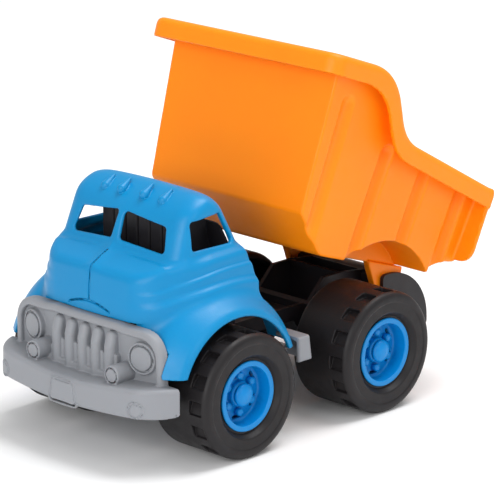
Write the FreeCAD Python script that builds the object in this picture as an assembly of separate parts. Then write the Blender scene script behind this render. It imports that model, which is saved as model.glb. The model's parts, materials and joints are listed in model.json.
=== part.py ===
import FreeCAD, Part

import math
import os

# Toy dump truck, millimetres.  +Z up, the truck drives towards -Y, its left
# side is +X.  The truck is drawn about the middle of its wheelbase, with the
# floor at z = 0, and moved along Y at the end so that the origin lies under
# the middle of its box.  The cab and clip are drawn about the front axle and
# the bed about the rear one, at the drawn places below, and then carried to
# the axles.  The dump bed is drawn lowered and then tipped.

Vector = FreeCAD.Vector

# ---------------------------------------------------------------- wheels
wheelbase = 114.0
tyre_radius = 36.7
tyre_inner_x = 37.5
tyre_outer_x = 81.5
tyre_wall = 3.1
tyre_shoulder = 2.6
pocket_count = 15
pocket_width = 6.6
pocket_length = 7.5
pocket_depth = 2.0
hub_seat_radius = 20.0
hub_flange_radius = 20.6
hub_flange_recess = 2.6
hub_dish_depth = 7.5
hub_wall = 2.4
hub_boss_radius = 7.4
hub_sleeve_radius = 6.0
lug_count = 6
lug_radius = 2.1
lug_circle_radius = 12.4
lug_height = 2.6
vent_radius = 1.9
cap_height = 3.6
axle_radius = 3.0
running_clearance = 0.06
press_clearance = 0.02
end_clearance = 0.5

# ---------------------------------------------------------------- datum
drawn_front_y = -57.0
drawn_rear_y = 57.0
drawn_axle_z = 36.7
front_axle_y = -wheelbase / 2
rear_axle_y = wheelbase / 2
axle_z = tyre_radius
front_shift = front_axle_y - drawn_front_y
rear_shift = rear_axle_y - drawn_rear_y
lift = axle_z - drawn_axle_z

# ---------------------------------------------------------------- chassis
wall = 2.5
rail_outer_x = 22.0
chassis_front_y = -94.0
chassis_bottom_z = 30.0
neck_front_y = -8.0
neck_rear_y = 50.0
neck_bottom_z = 48.0
neck_top_z = 57.0
rail_top_z = 69.0
cross_wall_y = 78.0
tail_front_y = 97.0
tail_rear_y = 137.0
tail_half_width = 40.0
tail_bottom_z = 27.0
tail_top_z = 67.0
tail_corner_radius = 34.0
axle_boss_radius = 6.6

# ---------------------------------------------------------------- bed hinge
hinge_y = 104.0
hinge_z = 48.0
hinge_pin_radius = 2.6
hinge_pin_head_radius = 4.4
hinge_pin_head = 1.6
lug_plate = 5.0
lug_side_gap = 0.5
lug_slot_reach = 22.5
lug_tip_radius = 8.0
bed_tip_angle = 18.5

# ---------------------------------------------------------------- dump bed
bed_wall = 2.6
bed_floor_z = 70.0
bed_floor_half_width = 61.5
bed_draft = 0.052
bed_front_bottom_y = 6.6
bed_front_fold_y = -17.9
bed_front_fold_z = 92.0
bed_front_top_y = -19.8
bed_rim_high_z = 184.5
bed_rim_high_end_y = 2.0
bed_rim_low_y = 50.0
bed_rim_low_z = 145.0
bed_rear_rim_z = 129.0
bed_rear_top_y = 133.0
bed_rear_bottom_y = 127.0
bed_rear_bottom_z = 81.0
bed_floor_end_y = 103.0
rim_half_width = 76.5
rim_front_reach = 13.7
rim_corner_radius = 10.0
rim_height = 12.0
rim_hip_radius = 24.0
rim_waist_radius = 9.0
arch_center_y = 69.0
arch_center_z = 37.5
arch_tyre_gap = 12.3
arch_radius = tyre_radius + arch_tyre_gap
arch_inner_x = 35.2
groove_width = 10.0
groove_depth = 2.4
groove_pitch = 38.0
groove_first_y = 40.5
groove_lean = 6.0
groove_top_drop = 9.0

# ---------------------------------------------------------------- cab
cab_wall = 2.6
fender_outer_x = 75.0
fender_tyre_gap = 6.7
fender_arch_radius = tyre_radius + fender_tyre_gap
fender_lip = 2.6
fender_bottom_z = 54.0
cab_rear_y = -29.0
cab_bottom_z = 62.0
roof_z = 150.0
nose_y = -106.0
house_half_width = 52.0
house_bottom_z = 100.0
house_post_x = 38.0
windshield_lean = 0.4
bulkhead_rear_y = -23.0
bulkhead_top_z = 108.0
bulkhead_half_width = 35.0
back_panel_half_width = 43.6
back_panel_low_half_width = 35.0
back_panel_low_z = 64.0
back_panel_step_z = 76.0
back_panel_top_z = 142.0
window_radius = 3.5
panel_gap = 0.4

# ---------------------------------------------------------------- front clip
clip_wall = 2.6
bumper_bottom_z = 29.0
bumper_top_z = 48.0
bumper_front_y = -127.0
bumper_bow = 5.5
bumper_half_width = 73.0
bumper_end_y = -103.0
grille_half_width = 61.5
grille_top_z = 80.5
grille_front_y = -110.5
grille_depth = 9.0
surround_width = 4.5
surround_depth = 3.4
head_lamp_x = 45.5
head_lamp_z = 63.0
head_lamp_radius = 9.5
fog_lamp_x = 32.9
fog_lamp_z = 52.9
fog_lamp_radius = 5.9
fog_lamp_front_y = -120.0
button_x = 54.7
button_z = 37.0
tooth_count = 5
tooth_pitch = 10.6
tooth_width = 5.0
tooth_top_z = 75.0
step_outer_x = 72.0
step_inner_x = 52.0
step_front_y = -9.0
step_rear_y = 3.0
step_bottom_z = 43.0
step_top_z = 59.0
pan_bottom_z = 27.5
pan_half_width = 30.0
beam_front_y = -7.8
beam_rear_y = 3.0

# ---------------------------------------------------------------- cab rear
seat_half_width = 30.0
seat_front_y = -66.0
seat_top_z = 137.0
seat_rib_count = 6
seat_seam = 1.4
seat_seam_depth = 1.1
back_panel_wall = 2.6
back_panel_set = 8.0
back_panel_lean = 17.0
back_panel_bend_z = 96.0

# ---------------------------------------------------------------- plugs
plug_radius = 3.0
plug_head_radius = 5.2
plug_head = 1.5
plug_x = 12.0
plug_front_y = -88.0
plug_rear_y = -36.0



# ---------------------------------------------------------------- helpers
def box(x0, x1, y0, y1, z0, z1):
    """Return a box between two corners."""
    return Part.makeBox(x1 - x0, y1 - y0, z1 - z0, Vector(x0, y0, z0))


def fuse(shapes):
    """Return all shapes joined into one."""
    result = shapes[0]
    for shape in shapes[1:]:
        result = result.fuse(shape)
    return result.removeSplitter()


def mirrored(shape):
    """Return the shape reflected to the other side of the truck."""
    return shape.mirror(Vector(0, 0, 0), Vector(1, 0, 0))


def both_sides(shape):
    """Return the shape and its reflection."""
    return [shape, mirrored(shape)]


def rounded_wire(points, radii, place):
    """Return a closed wire through 2-D points, its corners rounded, put in space by place."""
    count = len(points)
    starts = []
    for i in range(count):
        before = points[i - 1]
        here = points[i]
        after = points[(i + 1) % count]
        radius = radii[i] if isinstance(radii, (list, tuple)) else radii
        if radius <= 0:
            starts.append((here, None, here))
            continue
        a = Vector(before[0] - here[0], before[1] - here[1], 0)
        b = Vector(after[0] - here[0], after[1] - here[1], 0)
        a.normalize()
        b.normalize()
        half = a.getAngle(b) / 2
        reach = radius / math.tan(half)
        middle = a + b
        middle.normalize()
        middle = middle * (radius / math.sin(half) - radius)
        first = (here[0] + a.x * reach, here[1] + a.y * reach)
        centre = (here[0] + middle.x, here[1] + middle.y)
        last = (here[0] + b.x * reach, here[1] + b.y * reach)
        starts.append((first, centre, last))
    edges = []
    for i in range(count):
        first, centre, last = starts[i]
        if centre is not None:
            arc = Part.Arc(place(first), place(centre), place(last))
            edges.append(arc.toShape())
        following = starts[(i + 1) % count][0]
        if math.hypot(following[0] - last[0], following[1] - last[1]) > 1e-6:
            edges.append(Part.makeLine(place(last), place(following)))
    return Part.Wire(edges)


def prism_x(points, x0, x1, radii=0):
    """Return a (y, z) outline pushed from x0 to x1."""
    wire = rounded_wire(points, radii, lambda p: Vector(x0, p[0], p[1]))
    return Part.Face(wire).extrude(Vector(x1 - x0, 0, 0))


def prism_y(points, y0, y1, radii=0):
    """Return an (x, z) outline pushed from y0 to y1."""
    wire = rounded_wire(points, radii, lambda p: Vector(p[0], y0, p[1]))
    return Part.Face(wire).extrude(Vector(0, y1 - y0, 0))


def prism_z(points, z0, z1, radii=0):
    """Return an (x, y) outline pushed from z0 to z1."""
    wire = rounded_wire(points, radii, lambda p: Vector(p[0], p[1], z0))
    return Part.Face(wire).extrude(Vector(0, 0, z1 - z0))


def rod_x(radius, x0, x1, y, z):
    """Return a round bar along X."""
    return Part.makeCylinder(radius, x1 - x0, Vector(x0, y, z), Vector(1, 0, 0))


def rod_y(radius, y0, y1, x, z):
    """Return a round bar along Y."""
    return Part.makeCylinder(radius, y1 - y0, Vector(x, y0, z), Vector(0, 1, 0))


def rod_z(radius, z0, z1, x, y):
    """Return a round bar along Z."""
    return Part.makeCylinder(radius, z1 - z0, Vector(x, y, z0))


def turned_x(profile, y, z):
    """Return an (x, radius) outline turned about the line along X at (y, z)."""
    wire = Part.makePolygon([Vector(x, y, z + r) for x, r in profile + profile[:1]])
    return Part.Face(wire).revolve(Vector(0, y, z), Vector(1, 0, 0), 360)


def plan_loft(levels):
    """Return a body lofted through (z, front_y, rear_y, front_half, rear_half, radius) levels."""
    wires = []
    for z, front_y, rear_y, front_half, rear_half, radius in levels:
        outline = [(-front_half, front_y), (front_half, front_y), (rear_half, rear_y), (-rear_half, rear_y)]
        wires.append(rounded_wire(outline, radius, lambda p, z=z: Vector(p[0], p[1], z)))
    return Part.makeLoft(wires, True, True)


def about_axle(shape, y, count):
    """Return copies of a shape spread evenly around the axle at y."""
    copies = []
    for i in range(count):
        turned = shape.copy()
        turned.rotate(Vector(0, y, axle_z), Vector(1, 0, 0), 360.0 * i / count)
        copies.append(turned)
    return copies


# ---------------------------------------------------------------- wheels
def make_tyre(y):
    """Return a left tyre: a tread band and outer side wall, open on its inner side."""
    face = tyre_outer_x
    seat_front = face - hub_flange_recess - 1.4
    edge = tyre_radius - tyre_shoulder
    profile = [
        (seat_front, hub_seat_radius),
        (seat_front, hub_flange_radius + 1.2),
        (face, hub_flange_radius + 3.6),
        (face, edge - 1.2),
        (face - 1.4, edge),
        (face - 5.0, tyre_radius),
        (tyre_inner_x + 5.0, tyre_radius),
        (tyre_inner_x, edge),
        (tyre_inner_x, edge - tyre_wall),
        (tyre_inner_x + 5.0, tyre_radius - tyre_wall),
        (face - 6.5, tyre_radius - tyre_wall),
        (face - tyre_wall, edge - tyre_wall),
        (face - tyre_wall, hub_seat_radius + tyre_wall),
        (face - 19.0, hub_seat_radius + tyre_wall),
        (face - 19.0, hub_seat_radius),
    ]
    tyre = turned_x(profile, y, axle_z)
    outside = tyre_radius + 4.0
    floor = tyre_radius - pocket_depth
    outer = box(face - 5.0 - pocket_length, face - 3.4, y - pocket_width / 2, y + pocket_width / 2,
                axle_z + floor, axle_z + outside)
    inner = outer.translated(Vector(tyre_inner_x + 12.0 + tyre_wall - face, 0, 0))
    for pocket in (outer, inner):
        tyre = tyre.cut(fuse(about_axle(pocket, y, pocket_count)))
    return tyre


def make_hub(y):
    """Return a left hub: flange, dished face with lugs and vents, and the sleeve on the axle."""
    flange = tyre_outer_x - hub_flange_recess
    dish = flange - hub_dish_depth
    bore = axle_radius + running_clearance
    profile = [
        (tyre_inner_x + 1.0, bore),
        (tyre_inner_x + 1.0, hub_sleeve_radius),
        (dish - hub_wall, hub_sleeve_radius),
        (dish - hub_wall, hub_seat_radius - hub_wall),
        (tyre_outer_x - 19.0, hub_seat_radius - hub_wall),
        (tyre_outer_x - 19.0, hub_seat_radius),
        (flange - 1.4, hub_seat_radius),
        (flange - 1.4, hub_flange_radius),
        (flange, hub_flange_radius - 0.6),
        (flange, hub_flange_radius - 2.6),
        (dish + 1.0, hub_seat_radius - 3.4),
        (dish, hub_seat_radius - 4.4),
        (dish, hub_boss_radius + 1.0),
        (dish + 3.0, hub_boss_radius),
        (dish + 3.0, bore),
    ]
    hub = turned_x(profile, y, axle_z)
    lug = rod_x(lug_radius, dish - 1.0, dish + lug_height, y, axle_z + lug_circle_radius)
    hub = fuse([hub] + about_axle(lug, y, lug_count))
    vent = rod_x(vent_radius, dish - hub_wall - 1.0, dish + 1.0, y, axle_z + lug_circle_radius)
    vent.rotate(Vector(0, y, axle_z), Vector(1, 0, 0), 180.0 / lug_count)
    for hole in about_axle(vent, y, lug_count):
        hub = hub.cut(hole)
    return hub


def axle_end_x():
    """Return how far the axle reaches from the middle of the truck."""
    return tyre_outer_x - hub_flange_recess - hub_dish_depth + 3.0 + 1.6


def make_axle(y):
    """Return the round axle that two hubs turn on."""
    return rod_x(axle_radius, -axle_end_x(), axle_end_x(), y, axle_z)


def make_axle_cap(y):
    """Return the left domed cap pressed on the end of the axle."""
    base = tyre_outer_x - hub_flange_recess - hub_dish_depth + 3.0 + panel_gap
    rim = hub_boss_radius - 0.6
    sphere_radius = (rim ** 2 + cap_height ** 2) / (2 * cap_height)
    dome = Part.makeSphere(sphere_radius, Vector(base + cap_height - sphere_radius, y, axle_z))
    cap = dome.common(rod_x(rim + 1.0, base, base + cap_height + 1.0, y, axle_z))
    seat = rod_x(axle_radius + press_clearance, base - 1.0, axle_end_x() + press_clearance, y, axle_z)
    return cap.cut(seat)


# ---------------------------------------------------------------- chassis
def chassis_side_outline():
    """Return the (y, z) outline of a chassis rail."""
    front = chassis_front_y + front_shift
    rear = neck_rear_y + rear_shift
    return [
        (front, chassis_bottom_z),
        (neck_front_y + front_shift - 16.0, chassis_bottom_z),
        (neck_front_y + front_shift, neck_bottom_z),
        (rear - 12.0, neck_bottom_z),
        (rear, chassis_bottom_z),
        (tail_front_y + rear_shift + wall, chassis_bottom_z),
        (tail_front_y + rear_shift + wall, rail_top_z - 2.0),
        (cross_wall_y + rear_shift + wall, rail_top_z),
        (rear + 14.0, rail_top_z),
        (rear, neck_top_z - 2.0),
        (rear - 4.0, neck_top_z),
        (front, neck_top_z),
    ]


def tail_outline(inset):
    """Return the (y, z) outline of the rounded tail, drawn in by inset and open below."""
    front = tail_front_y + rear_shift + inset
    rear = tail_rear_y + rear_shift - inset
    low = tail_bottom_z - inset
    top = tail_top_z - inset
    return [(front, low), (rear, low), (rear, top), (front, top)]


def make_chassis():
    """Return the black chassis: rails, neck, axle bosses, cross walls and the tail with the bed hinge."""
    outline = chassis_side_outline()
    inner_x = rail_outer_x - wall
    solid = prism_x(outline, -rail_outer_x, rail_outer_x, 0)
    floor = chassis_bottom_z + wall
    above = rail_top_z + 10
    neck_front = neck_front_y + front_shift
    neck_rear = neck_rear_y + rear_shift
    cross_y = cross_wall_y + rear_shift
    front_well = box(-inner_x, inner_x, chassis_front_y + front_shift + wall, neck_front - 16.0, floor, above)
    neck_well = box(-inner_x, inner_x, neck_front - 18.0, neck_rear, neck_bottom_z + wall, above)
    rear_well = box(-inner_x, inner_x, neck_rear + 2.0, cross_y, floor, above)
    last_well = box(-inner_x, inner_x, cross_y + wall, tail_front_y + rear_shift, floor, above)
    solid = solid.cut(fuse([front_well, neck_well])).cut(rear_well).cut(last_well)

    tail = prism_x(tail_outline(0), -tail_half_width, tail_half_width, [2.0, 4.0, tail_corner_radius, 3.0])
    hollow = prism_x(tail_outline(wall), wall - tail_half_width, tail_half_width - wall,
                     [0, 0, tail_corner_radius - wall, 1.0])
    tail = tail.cut(hollow)

    slot_outer = tail_half_width - wall
    slot_inner = slot_outer - lug_plate - 2 * lug_side_gap
    tail_front = tail_front_y + rear_shift
    pin_y = hinge_y + rear_shift
    bearing = box(slot_inner - wall, slot_inner, tail_front, pin_y + 12.0, hinge_z - 12.0, tail_top_z - 5.0)
    ledge = rod_x(hinge_pin_head_radius + 1.4, slot_inner - wall, slot_inner, pin_y, hinge_z)
    solid = fuse([solid, tail] + both_sides(bearing) + both_sides(ledge))
    slot = box(slot_inner, slot_outer, tail_front - 1.0, pin_y + lug_slot_reach, hinge_z - 12.0, tail_top_z + 1.0)
    pin_hole = rod_x(hinge_pin_radius + press_clearance, slot_inner - wall - 1.0, tail_half_width + 1.0,
                     pin_y, hinge_z)
    for side in both_sides(slot) + both_sides(pin_hole):
        solid = solid.cut(side)

    boss_end = tyre_inner_x + 1.0 - end_clearance
    for axle_y in (front_axle_y, rear_axle_y):
        boss = rod_x(axle_boss_radius, inner_x, boss_end, axle_y, drawn_axle_z)
        web = box(rail_outer_x - 1.0, boss_end - 3.0, axle_y - 1.2, axle_y + 1.2, drawn_axle_z,
                  drawn_axle_z + 16.0)
        solid = fuse([solid] + both_sides(boss) + both_sides(web))
        solid = solid.cut(rod_x(axle_radius + press_clearance, -boss_end - 1, boss_end + 1, axle_y, drawn_axle_z))
    for plug_y in (plug_front_y + front_shift, plug_rear_y + front_shift):
        for x in (-plug_x, plug_x):
            hole = rod_z(plug_radius + press_clearance, chassis_bottom_z - 1, floor + 1, x, plug_y)
            solid = solid.cut(hole)
    return solid


def make_hinge_pin():
    """Return the left pin that carries the bed, with its head outside the tail."""
    slot_outer = tail_half_width - wall
    slot_inner = slot_outer - lug_plate - 2 * lug_side_gap
    shank = rod_x(hinge_pin_radius, slot_inner - wall, tail_half_width, hinge_y, hinge_z)
    head = rod_x(hinge_pin_head_radius, tail_half_width, tail_half_width + hinge_pin_head, hinge_y, hinge_z)
    return fuse([shank, head])


# ---------------------------------------------------------------- dump bed
def bed_side_x(z):
    """Return the half width of the outside of the bed at height z."""
    return bed_floor_half_width + bed_draft * (z - bed_floor_z)


def bed_outline(inset, top_rise, rear_run):
    """Return the (y, z) side outline of the bed, drawn in, with its rim raised and its rear run out."""
    slope = inset * 0.42
    front_top = bed_front_top_y + inset
    return [
        (bed_front_bottom_y + slope, bed_floor_z + inset),
        (bed_floor_end_y, bed_floor_z + inset),
        (bed_rear_bottom_y - 10.0, bed_rear_bottom_z + inset - 2.0),
        (bed_rear_bottom_y + rear_run, bed_rear_bottom_z + inset),
        (bed_rear_top_y + rear_run, bed_rear_rim_z + top_rise),
        (bed_rim_low_y, bed_rim_low_z + top_rise),
        (bed_rim_low_y - 14.0, bed_rim_low_z + 16.0 + top_rise),
        (bed_rim_high_end_y + 24.0, bed_rim_high_z - 8.0 + top_rise),
        (bed_rim_high_end_y, bed_rim_high_z + top_rise),
        (front_top, bed_rim_high_z + top_rise),
        (bed_front_fold_y + inset, bed_front_fold_z + slope),
    ]


BED_CORNERS = [3.0, 6.0, 4.0, 0, 0, rim_waist_radius, 8.0, 10.0, 20.0, 0, 3.0]


def side_wedge(offset, low, high):
    """Return the tapered block that trims the bed to its drafted sides, moved in by offset."""
    low_half = bed_side_x(low) - offset
    high_half = bed_side_x(high) - offset
    outline = [(-low_half, low), (low_half, low), (high_half, high), (-high_half, high)]
    return prism_y(outline, -60.0, 190.0)


def rim_band(depth, raise_by):
    """Return the (y, z) outline of the band along the rim, depth high, up to the rear corner."""
    top = [
        (bed_rear_top_y, bed_rear_rim_z + raise_by),
        (bed_rim_low_y, bed_rim_low_z + raise_by),
        (bed_rim_low_y - 14.0, bed_rim_low_z + 16.0 + raise_by),
        (bed_rim_high_end_y + 24.0, bed_rim_high_z - 8.0 + raise_by),
        (bed_rim_high_end_y, bed_rim_high_z + raise_by),
        (bed_front_top_y - rim_front_reach, bed_rim_high_z + raise_by),
    ]
    shifts = [(-1.0, -depth), (-2.0, -depth), (-depth * 0.75, -depth * 0.55), (-depth * 0.7, -depth * 0.75),
              (-depth * 0.2, -depth), (0.0, -depth)]
    bottom = [(y + dy, z + dz) for (y, z), (dy, dz) in zip(top, shifts)]
    return top + bottom[::-1]


def make_bed_lug():
    """Return the left lug under the bed that turns on the hinge pin."""
    slot_outer = tail_half_width - wall
    outer = slot_outer - lug_side_gap
    inner = outer - lug_plate
    root = bed_floor_z + bed_wall / 2
    front = hinge_y - lug_tip_radius
    rear = hinge_y + lug_tip_radius
    outline = [(78.0, root), (80.0, bed_floor_z - 2.0), (front, hinge_z), (rear, hinge_z), (rear - 1.0, root)]
    plate = prism_x(outline, inner, outer)
    return fuse([plate, rod_x(lug_tip_radius, inner, outer, hinge_y, hinge_z)])


def make_groove(y_top, radius_extra):
    """Return the rounded bar that presses one groove into the left side of the bed."""
    radius = (groove_width ** 2 / 4 + groove_depth ** 2) / (2 * groove_depth)
    z_top = bed_rim_low_z - groove_top_drop - (y_top - groove_first_y) * 0.16
    lean = math.tan(math.radians(groove_lean))
    z_low = bed_floor_z - 20.0
    x_top = bed_side_x(z_top) + radius - groove_depth
    x_low = bed_side_x(z_low) + radius - groove_depth
    low = Vector(x_low, y_top - lean * (z_top - z_low), z_low)
    high = Vector(x_top, y_top, z_top)
    run = high - low
    bar = Part.makeCylinder(radius + radius_extra, run.Length, low, run)
    tip = Part.makeSphere(radius + radius_extra, high)
    return bar.fuse(tip)


def make_bed_lowered():
    """Return the orange bed as it lies lowered on the chassis."""
    outer = prism_x(bed_outline(0, 0, 0), -90, 90, BED_CORNERS).common(side_wedge(0, 40, 220))
    inner = prism_x(bed_outline(bed_wall, 30.0, 10.0), -90, 90, [1.0, 4.0, 3.0] + BED_CORNERS[3:])
    inner = inner.common(side_wedge(bed_wall, 40, 240))

    grooves = [groove_first_y + groove_pitch * i for i in range(3)]
    for y in grooves:
        for ridge in both_sides(make_groove(y, bed_wall)):
            inner = inner.cut(ridge)

    arch_outer = rod_x(arch_radius + bed_wall, arch_inner_x - bed_wall, 90, arch_center_y, arch_center_z)
    for house in both_sides(arch_outer):
        inner = inner.cut(house)
    bed = outer.cut(inner)
    for y in grooves:
        for groove in both_sides(make_groove(y, 0.0)):
            bed = bed.cut(groove)
    arch = rod_x(arch_radius, arch_inner_x, 90, arch_center_y, arch_center_z)
    for house in both_sides(arch):
        bed = bed.cut(house)

    corners = [0, rim_waist_radius, 8.0, 10.0, 20.0, 3.0]
    plate = prism_x(rim_band(bed_wall, 0), -rim_half_width, rim_half_width, corners + [0] * 6)
    lip = prism_x(rim_band(rim_height, 0), -rim_half_width, rim_half_width,
                  corners + [3.0, 14.0, 6.0, 8.0, 6.0, 0])
    lip_core = box(bed_wall - rim_half_width, rim_half_width - bed_wall,
                   bed_front_top_y - rim_front_reach + bed_wall, bed_rear_top_y + 40, 60, 220)
    lip = lip.cut(lip_core)
    rear = prism_x([(bed_rear_bottom_y, bed_rear_bottom_z + 1.0), (bed_rear_top_y, bed_rear_rim_z),
                    (bed_rear_top_y - bed_wall, bed_rear_rim_z),
                    (bed_rear_bottom_y - bed_wall, bed_rear_bottom_z + 1.0)],
                   bed_floor_half_width - 2.0, rim_half_width)
    rim = fuse([plate, lip] + both_sides(rear))
    plan = prism_z([(-rim_half_width, bed_front_top_y - rim_front_reach),
                    (rim_half_width, bed_front_top_y - rim_front_reach),
                    (rim_half_width, bed_rear_top_y + 5), (-rim_half_width, bed_rear_top_y + 5)],
                   60, 220, [rim_corner_radius, rim_corner_radius, 0, 0])
    rim = rim.common(plan)
    rim = rim.cut(inner)
    bed = fuse([bed, rim] + both_sides(make_bed_lug()))
    for hole in both_sides(rod_x(hinge_pin_radius + running_clearance, 20, 60, hinge_y, hinge_z)):
        bed = bed.cut(hole)
    return bed


def make_dump_bed():
    """Return the bed tipped to its rest angle about the hinge."""
    bed = make_bed_lowered()
    bed.rotate(Vector(0, hinge_y, hinge_z), Vector(1, 0, 0), -bed_tip_angle)
    return bed


# ---------------------------------------------------------------- cab
def cab_body(inset):
    """Return the hood and lower cab, drawn in by inset on every side."""
    levels = [
        (cab_bottom_z - 2.0 * inset, nose_y, cab_rear_y, 38.0, 60.0, 9.0),
        (84.0, nose_y, cab_rear_y, 37.0, 60.0, 9.0),
        (96.0, nose_y + 1.0, cab_rear_y - 0.5, 35.5, 59.0, 9.0),
        (103.5, nose_y + 3.0, cab_rear_y - 2.0, 34.0, 57.0, 9.0),
        (108.5, nose_y + 8.0, cab_rear_y - 4.0, 31.0, 54.0, 9.0),
        (113.0, nose_y + 17.0, cab_rear_y - 6.0, 30.0, 50.0, 9.0),
    ]
    return plan_loft([shrunk(level, inset) for level in levels])


def cab_house(inset):
    """Return the upper cab with its roof, drawn in by inset on every side."""
    half = house_half_width - inset
    front = nose_y + 12.5 + inset
    low = house_bottom_z
    top = roof_z - inset
    plan = [(-half, cab_rear_y + 20.0), (-half, front + 7.5), (-house_post_x, front + 4.0), (0.0, front),
            (house_post_x, front + 4.0), (half, front + 7.5), (half, cab_rear_y + 20.0)]
    radii = [0, 10.0 - inset, 0, 0, 0, 10.0 - inset, 0]
    wire = rounded_wire(plan, radii, lambda p: Vector(p[0], p[1], low))
    rise = roof_z + 10.0 - low
    swept = Part.Face(wire).extrude(Vector(0, windshield_lean * rise, rise))
    rear = cab_rear_y - inset
    side_outline = [
        (nose_y - 10.0, low - 5.0),
        (rear - 2.5, low - 5.0),
        (rear - 5.5, 113.0),
        (rear - 18.5, 143.0),
        (rear - 21.5, top),
        (-60.0 + inset * 0.5, top),
        (-82.0 + inset * 0.5, 134.5 - inset * 0.8),
        (nose_y - 10.0, 128.0),
    ]
    side = prism_x(side_outline, -90, 90, [0, 0, 0, 8.0, 4.5 - inset, 12.0 - inset * 2, 6.0, 0])
    front_face = prism_y([(-half - 1.0, low - 10.0), (half + 1.0, low - 10.0), (half - 1.5, 118.0),
                          (half - 4.5, top + 0.1), (4.5 - half, top + 0.1), (1.5 - half, 118.0)],
                         -120, 0, [0, 0, 0, 15.0, 15.0, 0])
    return swept.common(side).common(front_face)


def shrunk(level, inset):
    """Return one loft level drawn in by inset."""
    z, front_y, rear_y, front_half, rear_half, radius = level
    if z > house_bottom_z:
        z = z - inset
    corner = max(radius - inset, 2.0)
    return (z, front_y + inset, rear_y - inset, front_half - inset, rear_half - inset, corner)


def fender_outline(inset):
    """Return the (x, radius) outline of a fender about the front axle, drawn in by inset."""
    edge = fender_arch_radius + 2.2 - inset
    return [
        (30.0, 5.0),
        (30.0, edge + 10.4),
        (52.0, edge + 7.9),
        (66.0, edge + 4.4),
        (72.5 - inset * 0.6, edge + 1.7),
        (fender_outer_x - inset, edge),
        (fender_outer_x - inset, 5.0),
    ]


def make_cab_shell():
    """Return the blue cab: hood, fenders, roof and window openings as one thin shell."""
    keep = box(-90, 90, nose_y + 2.0, cab_rear_y + 24.0, fender_bottom_z, 200)
    outer_fender = turned_x(fender_outline(0), drawn_front_y, drawn_axle_z).common(keep)
    inner_fender = turned_x(fender_outline(fender_lip), drawn_front_y, drawn_axle_z)
    outer = fuse([cab_body(0), cab_house(0)] + both_sides(outer_fender))
    shell = outer.cut(cab_body(cab_wall))
    shell = shell.cut(cab_house(cab_wall))
    for hollow in both_sides(inner_fender):
        shell = shell.cut(hollow)
    for arch in both_sides(rod_x(fender_arch_radius, 30, 90, drawn_front_y, drawn_axle_z)):
        shell = shell.cut(arch)
    rear_opening = prism_x([(cab_rear_y - 8.0, 40), (cab_rear_y + 25, 40), (cab_rear_y + 25, 144.0),
                            (cab_rear_y - 22.0, 144.0), (cab_rear_y - 8.0, 96.0)], -44.0, 44.0)
    shell = shell.cut(rear_opening)
    room = grille_half_width + panel_gap
    room_rear = grille_front_y + grille_depth + panel_gap
    shell = shell.cut(box(-room, room, bumper_front_y, room_rear, fender_bottom_z - 1.0,
                          grille_top_z + panel_gap))
    step_room = box(step_inner_x - panel_gap, step_outer_x + panel_gap, step_front_y - panel_gap,
                    step_rear_y + panel_gap, step_bottom_z, step_top_z + panel_gap)
    for side in both_sides(step_room):
        shell = shell.cut(side)

    pane = prism_y([(3.0, 118.5), (36.5, 115.5), (34.0, 130.6), (2.6, 134.0)], -120, -70, window_radius)
    for window in both_sides(pane):
        shell = shell.cut(window)
    side = prism_x([(-74.5, 118.0), (-38.6, 117.6), (-48.8, 136.8), (-75.0, 134.2)], 38, 90,
                   window_radius)
    for window in both_sides(side):
        shell = shell.cut(window)
    lights = []
    for x, y, z in ((9.2, -68.0, 142.0), (23.7, -66.5, 141.2)):
        lamp = Part.makeSphere(3.0, Vector(x, y, z))
        tail = Part.makeCone(3.0, 0.8, 8.0, Vector(x, y, z), Vector(0, 0.87, 0.42))
        lights.extend(both_sides(lamp.fuse(tail)))
    inside = cab_house(cab_wall / 2)
    lights = [light.cut(inside) for light in lights]
    return fuse([shell] + lights)


def cab_rear_block():
    """Return the ribbed block that stands behind the windshield, and the hollow inside it."""
    shell = back_panel_wall
    panel_y = cab_rear_y - back_panel_set + panel_gap
    bend_z = back_panel_bend_z
    top_y = cab_rear_y - back_panel_lean
    half = seat_half_width
    block = prism_x([(seat_front_y, neck_top_z), (panel_y + 1.0, neck_top_z), (panel_y + 1.0, bend_z),
                     (top_y - 1.5, seat_top_z), (seat_front_y, seat_top_z)], -half, half)
    front = seat_front_y + shell
    room = [(front, neck_top_z + 6.0), (panel_y + 9.0, neck_top_z + 6.0), (panel_y + 9.0, bend_z),
            (top_y + 0.5, seat_top_z - shell), (front, seat_top_z - shell)]
    hollow = prism_x(room, shell - half, half - shell)
    pitch = 2 * half / seat_rib_count
    for i in range(1, seat_rib_count):
        x = -half + pitch * i
        seam = box(x - seat_seam / 2, x + seat_seam / 2, seat_front_y - 1.0, seat_front_y + seat_seam_depth,
                   neck_top_z + 10.0, seat_top_z + 1.0)
        block = block.cut(seam)
    return block, hollow


def cab_rear_panel():
    """Return the wall that closes the back of the cab, narrower between the front wheels."""
    shell = back_panel_wall
    panel_y = cab_rear_y - back_panel_set + panel_gap
    top_y = cab_rear_y - back_panel_lean
    wide = back_panel_half_width
    bend_z = back_panel_bend_z
    outline = [(panel_y, back_panel_low_z), (panel_y + shell, back_panel_low_z), (panel_y + shell, bend_z),
               (top_y, back_panel_top_z), (top_y - shell, back_panel_top_z), (panel_y, bend_z)]
    panel = prism_x(outline, -wide, wide)
    for side in both_sides(box(back_panel_low_half_width, wide + 1.0, panel_y - 1.0, panel_y + shell + 1.0,
                               back_panel_low_z - 1.0, back_panel_step_z)):
        panel = panel.cut(side)
    return panel


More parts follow.
